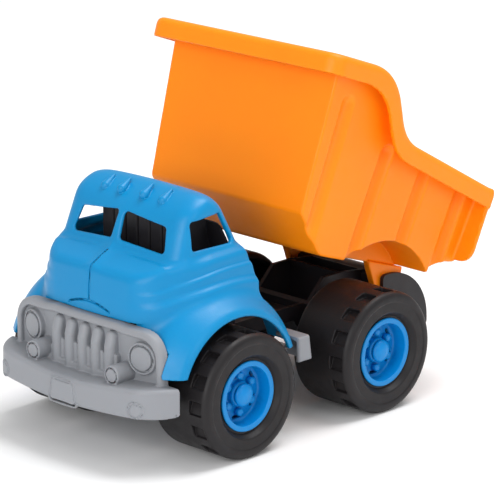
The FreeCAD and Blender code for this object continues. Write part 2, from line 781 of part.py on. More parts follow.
def cab_bulkhead():
    """Return the open-backed hood on the rear of the cab, ahead of the bed."""
    shell = back_panel_wall
    panel_y = cab_rear_y - back_panel_set + panel_gap
    half = bulkhead_half_width
    rear = bulkhead_rear_y
    top = bulkhead_top_z
    hood = prism_x([(panel_y, neck_top_z), (rear, neck_top_z), (rear, top - 4.0), (panel_y + 2.0, top),
                    (panel_y, top)], -half, half, [0, 0, 3.0, 0, 0])
    room = [(panel_y + shell, neck_top_z + 3.0), (rear + 1.0, neck_top_z + 3.0),
            (rear + 1.0, top - 4.0 - shell), (panel_y + shell, top - shell)]
    recess = prism_x(room, shell - half, half - shell)
    return hood.cut(recess)


def make_cab_rear():
    """Return the black part inside the cab: the ribbed block, the back panel and the bulkhead behind it."""
    block, hollow = cab_rear_block()
    room = cab_wall + panel_gap
    inside = fuse([cab_body(room), cab_house(room)])
    below = box(-rail_outer_x, rail_outer_x, -80.0, 0.0, neck_top_z, 70.0)
    inner = fuse([block, cab_rear_panel()]).common(fuse([inside, below]))
    return fuse([inner, cab_bulkhead()]).cut(hollow)


# ---------------------------------------------------------------- front clip
def bumper_plan(inset, bottom, top):
    """Return the bumper's block, drawn in by inset, between two heights."""
    half = bumper_half_width - inset
    front = bumper_front_y + inset
    shoulder = front + bumper_bow
    end = bumper_end_y + inset * 2
    place = [(-half, end), (-half, shoulder + 9.0), (-half + 14.0, shoulder), (0.0, front),
             (half - 14.0, shoulder), (half, shoulder + 9.0), (half, end)]
    radii = [0, 6.0, 10.0, 90.0, 10.0, 6.0, 0]
    return prism_z(place, bottom, top, radii)


def grille_face():
    """Return the (x, z) outline of the grille surround."""
    half = grille_half_width
    return [(-half, bumper_bottom_z + 8.0), (half, bumper_bottom_z + 8.0), (half, grille_top_z - 7.5),
            (half - 11.0, grille_top_z), (11.0 - half, grille_top_z), (-half, grille_top_z - 7.5)]


def inner_face(inset):
    """Return the grille outline drawn in by inset."""
    half = grille_half_width - inset
    top = grille_top_z - inset
    low = bumper_top_z
    hip = top - 7.5
    return [(-half, low), (half, low), (half, hip), (half - 11.0, top), (11.0 - half, top), (-half, hip)]


def grille_panel():
    """Return the grille surround with its sunken face, open behind."""
    half = grille_half_width
    front = grille_front_y
    rear = grille_front_y + grille_depth
    panel = prism_y(grille_face(), front, rear, [0, 0, 6.0, 8.0, 8.0, 6.0])
    behind = box(clip_wall - half, half - clip_wall, front + surround_depth + clip_wall, rear + 1.0,
                 bumper_top_z - clip_wall, grille_top_z + 1.0)
    recess = prism_y(inner_face(surround_width), front - 1.0, front + surround_depth, [0, 0, 5.0, 6.0, 6.0, 5.0])
    return panel.cut(behind).cut(recess)


def head_lamp(x, face_y):
    """Return a round head lamp with a groove inside its rim and a domed step in the middle."""
    lamp = rod_y(head_lamp_radius, face_y - 4.0, face_y + 1.0, x, head_lamp_z)
    groove = rod_y(head_lamp_radius - 1.2, face_y - 5.0, face_y - 3.4, x, head_lamp_z)
    lens = rod_y(head_lamp_radius - 1.8, face_y - 4.2, face_y - 3.0, x, head_lamp_z)
    return lamp.cut(groove).fuse(lens)


def grille_teeth(face_y):
    """Return the upright teeth of the grille, the low posts between them and the bar at their foot."""
    pieces = []
    half = tooth_width / 2
    foot = bumper_top_z - 1.0
    for i in range(tooth_count):
        x = (i - (tooth_count - 1) / 2) * tooth_pitch
        outline = [(x - half, foot), (x + half, foot), (x + half, tooth_top_z), (x - half, tooth_top_z)]
        pieces.append(prism_y(outline, face_y - 4.0, face_y + 1.0, [0, 0, half - 0.1, half - 0.1]))
        post = x - tooth_pitch / 2
        pieces.append(box(post - 1.8, post + 1.8, face_y - 2.4, face_y + 1.0, foot, tooth_top_z - 10.0))
    reach = tooth_count * tooth_pitch / 2
    pieces.append(box(-reach, reach, face_y - 5.0, face_y + 1.0, foot, bumper_top_z + 3.0))
    return pieces


def make_step():
    """Return the left step behind the front wheel, hollow below."""
    rear = step_rear_y - clip_wall
    outline = [(step_front_y, step_bottom_z), (step_rear_y, step_bottom_z), (rear, step_top_z),
               (step_front_y, step_top_z)]
    step = prism_x(outline, step_inner_x, step_outer_x, [0, 1.5, 2.0, 0])
    return step.cut(box(step_inner_x - 1, step_outer_x - clip_wall, step_front_y - 1, rear - 2.0,
                        step_bottom_z - 1, step_top_z - clip_wall))


def belly_pan():
    """Return the pan under the cab, its riser and the beam that carries the two steps."""
    half = pan_half_width
    riser_y = beam_rear_y - 9.0
    reach = step_inner_x + 2.0
    pan = box(-half, half, bumper_end_y - 6.0, riser_y, pan_bottom_z, chassis_bottom_z)
    nose = box(-half, half, bumper_front_y, bumper_end_y - 4.0, pan_bottom_z, chassis_bottom_z)
    nose = nose.common(bumper_plan(1.0, pan_bottom_z, chassis_bottom_z))
    riser = box(-half, half, riser_y - clip_wall, riser_y, pan_bottom_z, neck_bottom_z - 3.2)
    riser = riser.fuse(box(-half, half, riser_y - clip_wall, beam_front_y + 1.0, neck_bottom_z - 5.0,
                           neck_bottom_z - 3.2))
    beam = box(-reach, reach, beam_front_y, beam_rear_y, neck_bottom_z - 5.0, neck_bottom_z)
    return [pan, nose, riser, beam]


def make_front_clip():
    """Return the grey clip: bumper, grille, lamps, belly pan and the steps behind the front wheels."""
    bumper = bumper_plan(0, bumper_bottom_z, bumper_top_z)
    bumper = bumper.cut(bumper_plan(clip_wall, bumper_bottom_z - 1, bumper_top_z - clip_wall))
    face_y = grille_front_y + surround_depth
    pieces = [bumper, grille_panel()] + both_sides(head_lamp(head_lamp_x, face_y)) + grille_teeth(face_y)
    pieces += both_sides(rod_y(fog_lamp_radius, fog_lamp_front_y, face_y + 1.0, fog_lamp_x, fog_lamp_z))
    pieces += both_sides(rod_y(3.6, bumper_front_y + 3.6, bumper_front_y + 9.0, button_x, button_z))
    plate = prism_y([(-10, 30.5), (10, 30.5), (10, 46), (-10, 46)], bumper_front_y - 0.4,
                    bumper_front_y + 2.5, 3.5)
    pieces += [plate] + belly_pan() + both_sides(make_step())
    clip = fuse(pieces)
    for plug_y in (plug_front_y, plug_rear_y):
        for x in (-plug_x, plug_x):
            hole = rod_z(plug_radius + press_clearance, pan_bottom_z - 1, chassis_bottom_z + 1, x, plug_y)
            clip = clip.cut(hole)
    return clip


def make_body_plugs():
    """Return the four press-in plugs that hold the belly pan to the chassis."""
    plugs = []
    for y in (plug_front_y, plug_rear_y):
        for x in (-plug_x, plug_x):
            shank = rod_z(plug_radius, pan_bottom_z, chassis_bottom_z + wall + 4.0, x, y)
            head = rod_z(plug_head_radius, pan_bottom_z - plug_head, pan_bottom_z, x, y)
            plugs.append(fuse([shank, head]))
    return Part.makeCompound(plugs)


# ---------------------------------------------------------------- assembly
def carried(shape, shift):
    """Return the shape carried along and up to where its axle stands."""
    shape.translate(Vector(0, shift, lift))
    return shape


def build():
    """Return every piece of the truck by name."""
    pin = carried(make_hinge_pin(), rear_shift)
    parts = {
        "cab_shell": carried(make_cab_shell(), front_shift),
        "cab_back_box": carried(make_cab_rear(), front_shift),
        "front_clip": carried(make_front_clip(), front_shift),
        "chassis": carried(make_chassis(), 0.0),
        "dump_bed": carried(make_dump_bed(), rear_shift),
        "body_plugs": carried(make_body_plugs(), front_shift),
        "bed_hinge_pin_left": pin,
        "bed_hinge_pin_right": mirrored(pin),
    }
    for end, y in (("front", front_axle_y), ("rear", rear_axle_y)):
        parts["axle_" + end] = make_axle(y)
        pieces = {"tyre": make_tyre(y), "hub": make_hub(y), "axle_cap": make_axle_cap(y)}
        for kind, shape in pieces.items():
            parts[kind + "_" + end + "_left"] = shape
            parts[kind + "_" + end + "_right"] = mirrored(shape)
    return parts


def main():
    """Centre the truck over the origin and write one STEP file per piece."""
    os.makedirs("parts", exist_ok=True)
    parts = build()
    low = min(shape.BoundBox.YMin for shape in parts.values())
    high = max(shape.BoundBox.YMax for shape in parts.values())
    shift = round(-(low + high) / 2, 1)
    for name, shape in parts.items():
        shape.translate(Vector(0, shift, 0))
        bounds = shape.BoundBox
        print("%-22s solids %d volume %9.1f valid %s  x %7.1f %7.1f  y %7.1f %7.1f  z %7.1f %7.1f" % (
            name, len(shape.Solids), shape.Volume, shape.isValid(), bounds.XMin, bounds.XMax, bounds.YMin,
            bounds.YMax, bounds.ZMin, bounds.ZMax))
        shape.exportStep(os.path.join("parts", name + ".step"))
    print("shift along y", shift)


main()
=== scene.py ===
"""Looks of a toy dump truck: moulded plastic shells grown from smooth fields around the fixed frame.

Sizes inside the classes are millimetres, measured from the middle of the wheelbase, with the
floor at z = 0, the nose towards -Y and the bed drawn lowered.
"""
import json
import logging
import math
from dataclasses import dataclass
from enum import Enum
from typing import Callable, Sequence

import bmesh
import bpy
import numpy as np
from mathutils import Matrix, Vector


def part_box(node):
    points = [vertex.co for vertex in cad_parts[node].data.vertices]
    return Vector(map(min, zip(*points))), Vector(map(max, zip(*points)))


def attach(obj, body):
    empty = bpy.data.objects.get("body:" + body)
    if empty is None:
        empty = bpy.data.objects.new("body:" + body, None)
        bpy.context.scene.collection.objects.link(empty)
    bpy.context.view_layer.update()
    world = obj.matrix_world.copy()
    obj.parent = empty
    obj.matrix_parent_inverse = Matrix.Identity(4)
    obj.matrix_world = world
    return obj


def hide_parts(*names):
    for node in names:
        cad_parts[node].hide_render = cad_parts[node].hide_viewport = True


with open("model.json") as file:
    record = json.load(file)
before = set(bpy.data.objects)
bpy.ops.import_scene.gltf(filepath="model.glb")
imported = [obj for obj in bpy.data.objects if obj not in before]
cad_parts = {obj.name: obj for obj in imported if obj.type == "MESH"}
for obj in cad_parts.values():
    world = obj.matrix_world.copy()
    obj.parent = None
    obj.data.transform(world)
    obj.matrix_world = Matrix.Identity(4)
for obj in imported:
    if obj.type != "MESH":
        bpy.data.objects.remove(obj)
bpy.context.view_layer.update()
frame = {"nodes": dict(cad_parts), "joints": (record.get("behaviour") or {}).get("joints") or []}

MM = 0.001
LOG = logging.getLogger("dump_truck")
Array = np.ndarray
Field = Callable[[Array, Array, Array], Array]


class Side(Enum):
    """The two sides of the truck, as the sign of x."""

    LEFT = 1
    RIGHT = -1


class Body(Enum):
    """The bodies that a piece can ride on, apart from the wheels."""

    ROOT = "root"
    BED = "bed"


# ------------------------------------------------------------------ the fixed frame
@dataclass(frozen=True)
class Datum:
    """Where the truck's own drawing lies in the frame."""

    shift_y: float
    axle_z: float
    wheelbase: float
    hinge_y: float
    hinge_z: float
    tip_angle: float

    @staticmethod
    def read() -> "Datum":
        """Measure the frame's hubs and its bed joint.

        Returns:
            Datum: the drawing's place, in millimetres and radians.
        """
        front = middle_of("hub_front_left")
        rear = middle_of("hub_rear_left")
        joint = next(j for j in frame["joints"] if j["name"] == "bed_tip")
        pivot = joint["pos_m"]
        shift = (front[1] + rear[1]) / 2
        lowest = math.radians(min(joint["range_deg"]))
        return Datum(shift / MM, front[2] / MM, (rear[1] - front[1]) / MM,
                     (pivot[1] - shift) / MM, pivot[2] / MM, -lowest)


def middle_of(node: str) -> Vector:
    """Return the middle of a node's box, in metres."""
    low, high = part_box(node)
    return (Vector(low) + Vector(high)) / 2


# ------------------------------------------------------------------ fields
def smooth_min(a: Array, b: Array, k: float) -> Array:
    """Join two fields with a fillet of about k."""
    h = np.clip(0.5 + 0.5 * (b - a) / k, 0.0, 1.0)
    return b + (a - b) * h - k * h * (1.0 - h)


def smooth_max(a: Array, b: Array, k: float) -> Array:
    """Keep what two fields share, with the edge rounded by about k."""
    return -smooth_min(-a, -b, k)


def cut(solid: Array, tool: Array, k: float = 0.0) -> Array:
    """Take tool out of solid, with the rim of the cut rounded by about k."""
    if k <= 0:
        return np.maximum(solid, -tool)
    return smooth_max(solid, -tool, k)


def polygon(u: Array, v: Array, points: Sequence[tuple[float, float]]) -> Array:
    """Measure the distance to a closed outline.

    Args:
        u: first coordinate of each place.
        v: second coordinate of each place.
        points: corners of the outline, in order.

    Returns:
        Array: distance, below zero inside.
    """
    nearest = np.full(np.shape(u + v), 1e9, np.float32)
    inside = np.zeros(np.shape(u + v), bool)
    for (ax, ay), (bx, by) in zip(points, list(points[1:]) + [points[0]]):
        ex, ey = bx - ax, by - ay
        wx, wy = u - ax, v - ay
        share = np.clip((wx * ex + wy * ey) / (ex * ex + ey * ey), 0, 1)
        nearest = np.minimum(nearest, (wx - ex * share) ** 2 + (wy - ey * share) ** 2)
        above = (ay > v) != (by > v)
        if by != ay:
            inside ^= above & (u < ex * (v - ay) / (by - ay) + ax)
    return np.where(inside, -1.0, 1.0).astype(np.float32) * np.sqrt(nearest)


def box_2d(u: Array, v: Array, half_u: float, half_v: float, radius: float) -> Array:
    """Measure the distance to a rectangle with round corners about the middle."""
    du = np.abs(u) - half_u + radius
    dv = np.abs(v) - half_v + radius
    outer = np.hypot(np.maximum(du, 0), np.maximum(dv, 0))
    return outer + np.minimum(np.maximum(du, dv), 0) - radius


def span(w: Array, low: float, high: float) -> Array:
    """Measure the distance to the layer between low and high."""
    return np.abs(w - (low + high) / 2) - (high - low) / 2


def layer(shape: Array, w: Array, low: float, high: float, k: float = 0.0) -> Array:
    """Push a flat shape from low to high, its edges rounded by k."""
    du = shape + k
    dv = span(w, low, high) + k
    outer = np.hypot(np.maximum(du, 0), np.maximum(dv, 0))
    return outer + np.minimum(np.maximum(du, dv), 0) - k


def capsule(x: Array, y: Array, z: Array, a: Sequence[float], b: Sequence[float],
            ra: float, rb: float) -> Array:
    """Measure the distance to a round bar that tapers from ra at a to rb at b."""
    e = [b[i] - a[i] for i in range(3)]
    dot = (x - a[0]) * e[0] + (y - a[1]) * e[1] + (z - a[2]) * e[2]
    t = np.clip(dot / sum(c * c for c in e), 0, 1)
    away = np.sqrt((x - a[0] - e[0] * t) ** 2 + (y - a[1] - e[1] * t) ** 2 + (z - a[2] - e[2] * t) ** 2)
    return away - (ra + (rb - ra) * t)


def plane(u: Array, v: Array, a: tuple[float, float], b: tuple[float, float]) -> Array:
    """Measure how far a place lies to the left of the line from a to b, below zero on its right."""
    length = math.hypot(b[0] - a[0], b[1] - a[1])
    return ((b[0] - a[0]) * (v - a[1]) - (b[1] - a[1]) * (u - a[0])) / length


# ------------------------------------------------------------------ meshes
def surface_nets(values: Array) -> tuple[Array, Array]:
    """Wrap the zero level of a sampled field in quads, one point to each crossed cell.

    Args:
        values: field samples on a regular grid.

    Returns:
        tuple: points in grid steps, and quads as rows of four point numbers.
    """
    shape = tuple(n - 1 for n in values.shape)
    homes: list[Array] = []
    places: list[Array] = []
    quads: list[Array] = []
    for axis in range(3):
        low = [slice(None)] * 3
        high = [slice(None)] * 3
        low[axis] = slice(0, -1)
        high[axis] = slice(1, None)
        first = values[tuple(low)]
        second = values[tuple(high)]
        crossed = (first < 0) != (second < 0)
        at = np.argwhere(crossed)
        before = first[crossed]
        place = at.astype(np.float32)
        place[:, axis] += before / (before - second[crossed])
        b, c = (axis + 1) % 3, (axis + 2) % 3
        whole = (at[:, b] > 0) & (at[:, b] < shape[b]) & (at[:, c] > 0) & (at[:, c] < shape[c])
        at, place, outward = at[whole], place[whole], (before < 0)[whole]
        around = []
        for back_b, back_c in ((1, 1), (0, 1), (0, 0), (1, 0)):
            cell = at.copy()
            cell[:, b] -= back_b
            cell[:, c] -= back_c
            around.append(np.ravel_multi_index(cell.T, shape))
            places.append(place)
        homes.extend(around)
        quad = np.stack(around, 1)
        quad[~outward] = quad[~outward][:, ::-1]
        quads.append(quad)
    home = np.concatenate(homes)
    place = np.concatenate(places)
    used, number = np.unique(home, return_inverse=True)
    count = np.bincount(number)
    points = np.stack([np.bincount(number, place[:, i]) / count for i in range(3)], 1)
    return points, np.searchsorted(used, np.concatenate(quads))


def slope(field: Field, points: Array, reach: float = 0.04) -> Array:
    """Return the unit direction in which a field grows at each point."""
    sides = []
    for axis in range(3):
        step = np.zeros(3)
        step[axis] = reach
        sides.append(field(*(points + step).T) - field(*(points - step).T))
    gradient = np.stack(sides, 1)
    return gradient / np.maximum(np.linalg.norm(gradient, axis=1, keepdims=True), 1e-9)


@dataclass
class Shell:
    """A mesh in drawing millimetres, with the normal of each point."""

    points: Array
    normals: Array
    faces: Array

    @staticmethod
    def grow(field: Field, low: Sequence[float], high: Sequence[float], step: float) -> "Shell":
        """Wrap the zero level of a field that is the same on both sides of x = 0.

        Args:
            field: distance field in millimetres.
            low: lowest corner, whose x is left out when it is zero and the shape is mirrored.
            high: highest corner.
            step: size of a cell.

        Returns:
            Shell: closed mesh with the field's own normals.
        """
        ranges = [np.arange(a, b + step, step, dtype=np.float32) for a, b in zip(low, high)]
        grid = np.meshgrid(*ranges, indexing="ij", sparse=True)
        values = np.asarray(field(*grid), np.float32)
        start = np.array(low, float)
        if low[0] == 0:
            values = np.concatenate([values[:0:-1], values], 0)
            start[0] = -ranges[0][-1]
        values[np.abs(values) < 1e-5] = 1e-5
        spots, faces = surface_nets(values)
        points = start + spots * step
        for _ in range(3):
            move = np.clip(field(*points.T), -0.35 * step, 0.35 * step)
            points = points - slope(field, points) * move[:, None]
        return Shell(points, slope(field, points), faces)

    def mirrored(self) -> "Shell":
        """Return the shell reflected to the other side."""
        flip = np.array([-1.0, 1.0, 1.0])
        return Shell(self.points * flip, self.normals * flip, self.faces[:, ::-1])

    def moved(self, offset: Sequence[float]) -> "Shell":
        """Return the shell moved by an offset."""
        return Shell(self.points + np.array(offset), self.normals, self.faces)

    def tipped(self, angle: float, y: float, z: float) -> "Shell":
        """Return the shell with its front raised by angle about the line along x at (y, z)."""
        c, s = math.cos(angle), math.sin(angle)
        turn = np.array([[1, 0, 0], [0, c, s], [0, -s, c]])
        pivot = np.array([0, y, z])
        return Shell((self.points - pivot) @ turn.T + pivot, self.normals @ turn.T, self.faces)

    def make(self, name: str, material: bpy.types.Material) -> bpy.types.Object:
        """Put the shell in the scene, in metres in the frame.

        Args:
            name: name of the piece.
            material: its finish.

        Returns:
            Object: the finished piece.
        """
        mesh = bpy.data.meshes.new(name)
        points = (self.points + np.array([0, DATUM.shift_y, 0])) * MM
        mesh.vertices.add(len(points))
        mesh.vertices.foreach_set("co", points.astype(np.float32).ravel())
        sides = self.faces.shape[1]
        mesh.loops.add(self.faces.size)
        mesh.loops.foreach_set("vertex_index", self.faces.astype(np.int32).ravel())
        mesh.polygons.add(len(self.faces))
        mesh.polygons.foreach_set("loop_start", np.arange(0, self.faces.size, sides, dtype=np.int32))
        mesh.update(calc_edges=True)
        mesh.polygons.foreach_set("use_smooth", np.ones(len(self.faces), bool))
        mesh.normals_split_custom_set_from_vertices([tuple(n) for n in self.normals])
        mesh.materials.append(material)
        piece = bpy.data.objects.new(name, mesh)
        bpy.context.scene.collection.objects.link(piece)
        LOG.info("%s: %d faces", name, len(mesh.polygons))
        return piece


# ------------------------------------------------------------------ finishes
@dataclass(frozen=True)
class MouldedPlastic:
    """A moulded plastic with a fine grain, slow colour drift and uneven gloss."""

    name: str
    slot: str
    color: tuple[float, float, float]
    drift: tuple[float, float, float]
    gloss_low: float
    gloss_high: float
    grain: float
    depth: float
    scatter: float = 0.0
    sheen: float = 0.32

    def build(self) -> bpy.types.Material:
        """Return the finish as a node material on Object coordinates."""
        material = bpy.data.materials.new(self.name)
        material.use_nodes = True
        tree = material.node_tree
        nodes, links = tree.nodes, tree.links
        shader = nodes["Principled BSDF"]
        place = nodes.new("ShaderNodeTexCoord")
        drift = self._noise(tree, place, 22.0, 3.0)
        mix = nodes.new("ShaderNodeMix")
        mix.data_type = "RGBA"
        mix.inputs["A"].default_value = (*self.color, 1)
        mix.inputs["B"].default_value = (*self.drift, 1)
        links.new(drift.outputs["Fac"], mix.inputs["Factor"])
        links.new(mix.outputs["Result"], shader.inputs["Base Color"])
        rub = self._noise(tree, place, 160.0, 5.0)
        gloss = nodes.new("ShaderNodeMapRange")
        gloss.inputs["From Min"].default_value = 0.3
        gloss.inputs["From Max"].default_value = 0.7
        gloss.inputs["To Min"].default_value = self.gloss_low
        gloss.inputs["To Max"].default_value = self.gloss_high
        links.new(rub.outputs["Fac"], gloss.inputs["Value"])
        links.new(gloss.outputs["Result"], shader.inputs["Roughness"])
        grain = self._noise(tree, place, self.grain, 2.0)
        bump = nodes.new("ShaderNodeBump")
        bump.inputs["Strength"].default_value = 0.35
        bump.inputs["Distance"].default_value = self.depth
        links.new(grain.outputs["Fac"], bump.inputs["Height"])
        links.new(bump.outputs["Normal"], shader.inputs["Normal"])
        shader.inputs["Subsurface Weight"].default_value = self.scatter
        shader.inputs["Subsurface Scale"].default_value = 0.002
        shader.inputs["IOR"].default_value = 1.47
        shader.inputs["Specular IOR Level"].default_value = self.sheen
        return material

    @staticmethod
    def _noise(tree: bpy.types.NodeTree, place: bpy.types.Node, scale: float,
               detail: float) -> bpy.types.Node:
        """Add one noise texture on Object coordinates."""
        noise = tree.nodes.new("ShaderNodeTexNoise")
        noise.inputs["Scale"].default_value = scale
        noise.inputs["Detail"].default_value = detail
        tree.links.new(place.outputs["Object"], noise.inputs["Vector"])
        return noise


CAB_BLUE = MouldedPlastic("cab_blue_plastic", "cab_blue", (0.0, 0.212, 0.47), (0.001, 0.236, 0.51),
                          0.34, 0.44, 900.0, 0.00012, 0.06)
HUB_BLUE = MouldedPlastic("hub_blue_plastic", "hub_blue", (0.0, 0.205, 0.56), (0.0, 0.235, 0.60), 0.30, 0.40,
                          1100.0, 0.0001, 0.06)
BED_ORANGE = MouldedPlastic("bed_orange_plastic", "bed_orange", (0.98, 0.232, 0.0), (1.0, 0.262, 0.0),
                            0.40, 0.52, 800.0, 0.00016, 0.08)
TRIM_GREY = MouldedPlastic("trim_grey_plastic", "trim_grey", (0.245, 0.255, 0.278), (0.268, 0.277, 0.298),
                           0.38, 0.48, 900.0, 0.00012, 0.03)
CHASSIS_BLACK = MouldedPlastic("chassis_black_plastic", "chassis_black", (0.013, 0.012, 0.014),
                               (0.019, 0.017, 0.020), 0.38, 0.52, 800.0, 0.0001)
TYRE_BLACK = MouldedPlastic("tyre_black_plastic", "tyre_black", (0.0080, 0.0068, 0.0078),
                            (0.0125, 0.0108, 0.0118), 0.42, 0.55, 1000.0, 0.00014)


# ------------------------------------------------------------------ wheels
@dataclass
class Wheel:
    """A tyre with shoulder pockets on a deep blue hub, held by a domed cap."""

    inner_x: float = 37.5
    outer_x: float = 81.5
    radius: float = 36.7
    shoulder: float = 4.0
    wall: float = 4.2
    seat_radius: float = 20.0
    seat_depth: float = 19.0
    flange_recess: float = 2.6
    flange_radius: float = 20.6
    dish_depth: float = 9.5
    hub_wall: float = 2.4
    barrel_wall: float = 2.7
    boss_radius: float = 7.4
    sleeve_radius: float = 6.0
    bore_radius: float = 3.06
    pocket_count: int = 15
    pocket_half: float = 4.1
    pocket_depth: float = 3.3
    pocket_length: float = 9.5
    pocket_slope: float = 0.22
    pocket_inset: float = 3.6
    lug_count: int = 6
    lug_circle: float = 10.9
    lug_radius: float = 2.3
    lug_height: float = 4.2
    slot_circle: float = 14.3
    slot_half: float = 2.4
    slot_radius: float = 1.1
    tyre_step: float = 0.62
    hub_step: float = 0.48

    def tyre_field(self, x: Array, y: Array, z: Array) -> Array:
        """Return the distance field of a tyre about its own axle."""
        r = np.hypot(y, z)
        middle = (self.inner_x + self.outer_x) / 2
        half = (self.outer_x - self.inner_x) / 2
        body = box_2d(x - middle, r, half, self.radius, self.shoulder)
        face = self.outer_x
        body = cut(body, layer(r - (self.radius - 6.0), x, face - 0.7, face + 5.0), 0.8)
        body = smooth_min(body, box_2d(x - (face - 3.0), r - (self.radius - 9.0), 2.6, 5.6, 1.2), 0.8)
        body = cut(body, r - self.seat_radius, 0.3)
        funnel = r - (self.flange_radius + 1.2 + np.maximum(x - (face - self.flange_recess - 1.4), 0) * 0.75)
        body = cut(body, np.maximum(funnel, face - self.flange_recess - 1.4 - x), 0.6)
        hollow = box_2d(x - 30.0, r, face - self.wall - 30.0, self.radius - self.wall, 3.0)
        barrel = np.maximum(r - self.seat_radius - self.wall, face - self.seat_depth - x)
        body = cut(body, np.maximum(hollow, -barrel), 0.5)
        pitch = 2 * math.pi / self.pocket_count
        turn = np.arctan2(z, y)
        along = (np.mod(turn, pitch) - pitch / 2) * self.radius
        floor = r - (self.radius - self.pocket_depth) - (along + self.pocket_half) * self.pocket_slope
        length = self.pocket_length / 2
        pocket = box_2d(x - (face - self.pocket_inset - length), along, length, self.pocket_half, 0.8)
        return cut(body, np.maximum(pocket, -floor), 0.6)

    def hub_field(self, x: Array, y: Array, z: Array) -> Array:
        """Return the distance field of a hub about its own axle."""
        r = np.hypot(y, z)
        flange = self.outer_x - self.flange_recess
        dish = flange - self.dish_depth
        rear = self.outer_x - self.seat_depth
        ring = box_2d(x - (flange - 0.7), r - 19.0, 0.7, self.flange_radius - 19.0, 0.6)
        half = self.barrel_wall / 2
        barrel = box_2d(x - (flange + rear) / 2, r - (self.seat_radius - half),
                        (flange - rear) / 2, half, 0.6)
        plate = box_2d(x - dish + self.hub_wall / 2, r, self.hub_wall / 2, self.seat_radius - 0.6, 0.3)
        boss = box_2d(x - dish, r, 4.2, self.boss_radius, 1.6)
        sleeve = box_2d(x - (self.inner_x + 1.0 + dish) / 2, r, (dish - self.inner_x - 1.0) / 2,
                        self.sleeve_radius, 0.5)
        hub = smooth_min(np.minimum(ring, barrel), plate, 2.0)
        hub = smooth_min(hub, boss, 1.2)
        hub = np.minimum(hub, sleeve)
        pitch = 2 * math.pi / self.lug_count
        turn = np.mod(np.arctan2(z, y), pitch) - pitch / 2
        across = r * np.sin(turn)
        out = r * np.cos(turn) - self.slot_circle
        slot = np.hypot(np.maximum(np.abs(across) - self.slot_half, 0), out) - self.slot_radius
        hub = cut(hub, np.maximum(slot, span(x, dish - 6.0, dish + 1.0)), 0.4)
        return cut(hub, r - self.bore_radius, 0.4)

    def tyre(self) -> Shell:
        """Return the left tyre about its own axle."""
        reach = self.radius + 1.5
        low, high = (self.inner_x - 1.5, -reach, -reach), (self.outer_x + 1.5, reach, reach)
        return Shell.grow(self.tyre_field, low, high, self.tyre_step)

    def hub(self) -> Shell:
        """Return the left hub about its own axle."""
        reach = self.flange_radius + 1.0
        low, high = (self.inner_x, -reach, -reach), (self.outer_x - 1.0, reach, reach)
        return Shell.grow(self.hub_field, low, high, self.hub_step)

    def lugs(self, name: str, side: Side, y: float, material: bpy.types.Material) -> bpy.types.Object:
        """Return the ring of domed lug bosses on one hub, set out by a Geometry Nodes tree."""
        dish = self.outer_x - self.flange_recess - self.dish_depth
        top, radius = self.lug_height, self.lug_radius
        profile = [(0.0, radius), (top - 0.9, radius), (top - 0.3, radius - 0.35),
                   (top, radius - 1.1), (top + 0.1, 0.0)]
        seed = lathe_mesh(name + "_seed", profile, 20)
        centre = Vector((side.value * (dish - 0.3) * MM, (y + DATUM.shift_y) * MM, DATUM.axle_z * MM))
        ring = RingOf(self.lug_count, self.lug_circle * MM, centre, side.value > 0)
        return ring.make(name, seed, material)

    def cap(self, name: str, side: Side, y: float, material: bpy.types.Material) -> bpy.types.Object:
        """Return the domed cap over one end of the axle."""
        node = name.replace("_look", "")
        low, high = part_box(node)
        radius = (high[2] - low[2]) / 2 / MM
        height = (high[0] - low[0]) / MM
        steps = 10
        dome = [(height * math.sin(a), radius * math.cos(a)) for a in
                (math.pi / 2 * i / steps for i in range(steps + 1))]
        base = [(0.0, 0.0), (0.0, radius - 0.4)]
        mesh = lathe_mesh(name, base + dome, 48)
        start = low[0] if side is Side.LEFT else high[0]
        middle = Vector((start, (low[1] + high[1]) / 2, (low[2] + high[2]) / 2))
        turn = Matrix.Identity(4) if side is Side.LEFT else Matrix.Rotation(math.pi, 4, "Z")
        mesh.transform(Matrix.Translation(middle) @ turn)
        mesh.materials.append(material)
        return link_piece(name, mesh)


def lathe_mesh(name: str, profile: Sequence[tuple[float, float]], segments: int) -> bpy.types.Mesh:
    """Turn an (x, radius) profile in millimetres about the X axis.

    Args:
        name: name of the mesh.
        profile: places along the axis and their radii, from one pole to the other.
        segments: steps around the axis.

    Returns:
        Mesh: closed where the profile meets the axis, in metres, with smooth faces.
    """
    form = bmesh.new()
    rings = []
    for x, radius in profile:
        if radius <= 1e-6:
            rings.append([form.verts.new((x * MM, 0, 0))])
            continue
        angles = (2 * math.pi * i / segments for i in range(segments))
        rings.append([form.verts.new((x * MM, radius * MM * math.cos(a), radius * MM * math.sin(a)))
                      for a in angles])
    for one, two in zip(rings, rings[1:]):
        for i in range(segments):
            j = (i + 1) % segments
            corners = [one[i % len(one)], one[j % len(one)], two[j % len(two)], two[i % len(two)]]
            form.faces.new(list(dict.fromkeys(corners)))
    if len(rings[0]) > 1:
        form.faces.new(rings[0])
    bmesh.ops.recalc_face_normals(form, faces=form.faces)
    mesh = bpy.data.meshes.new(name)
    form.to_mesh(mesh)
    form.free()
    mesh.polygons.foreach_set("use_smooth", [True] * len(mesh.polygons))
    return mesh


def link_piece(name: str, mesh: bpy.types.Mesh) -> bpy.types.Object:
    """Put a mesh in the scene under a name."""
    piece = bpy.data.objects.new(name, mesh)
    bpy.context.scene.collection.objects.link(piece)
    LOG.info("%s: %d faces", name, len(mesh.polygons))
    return piece


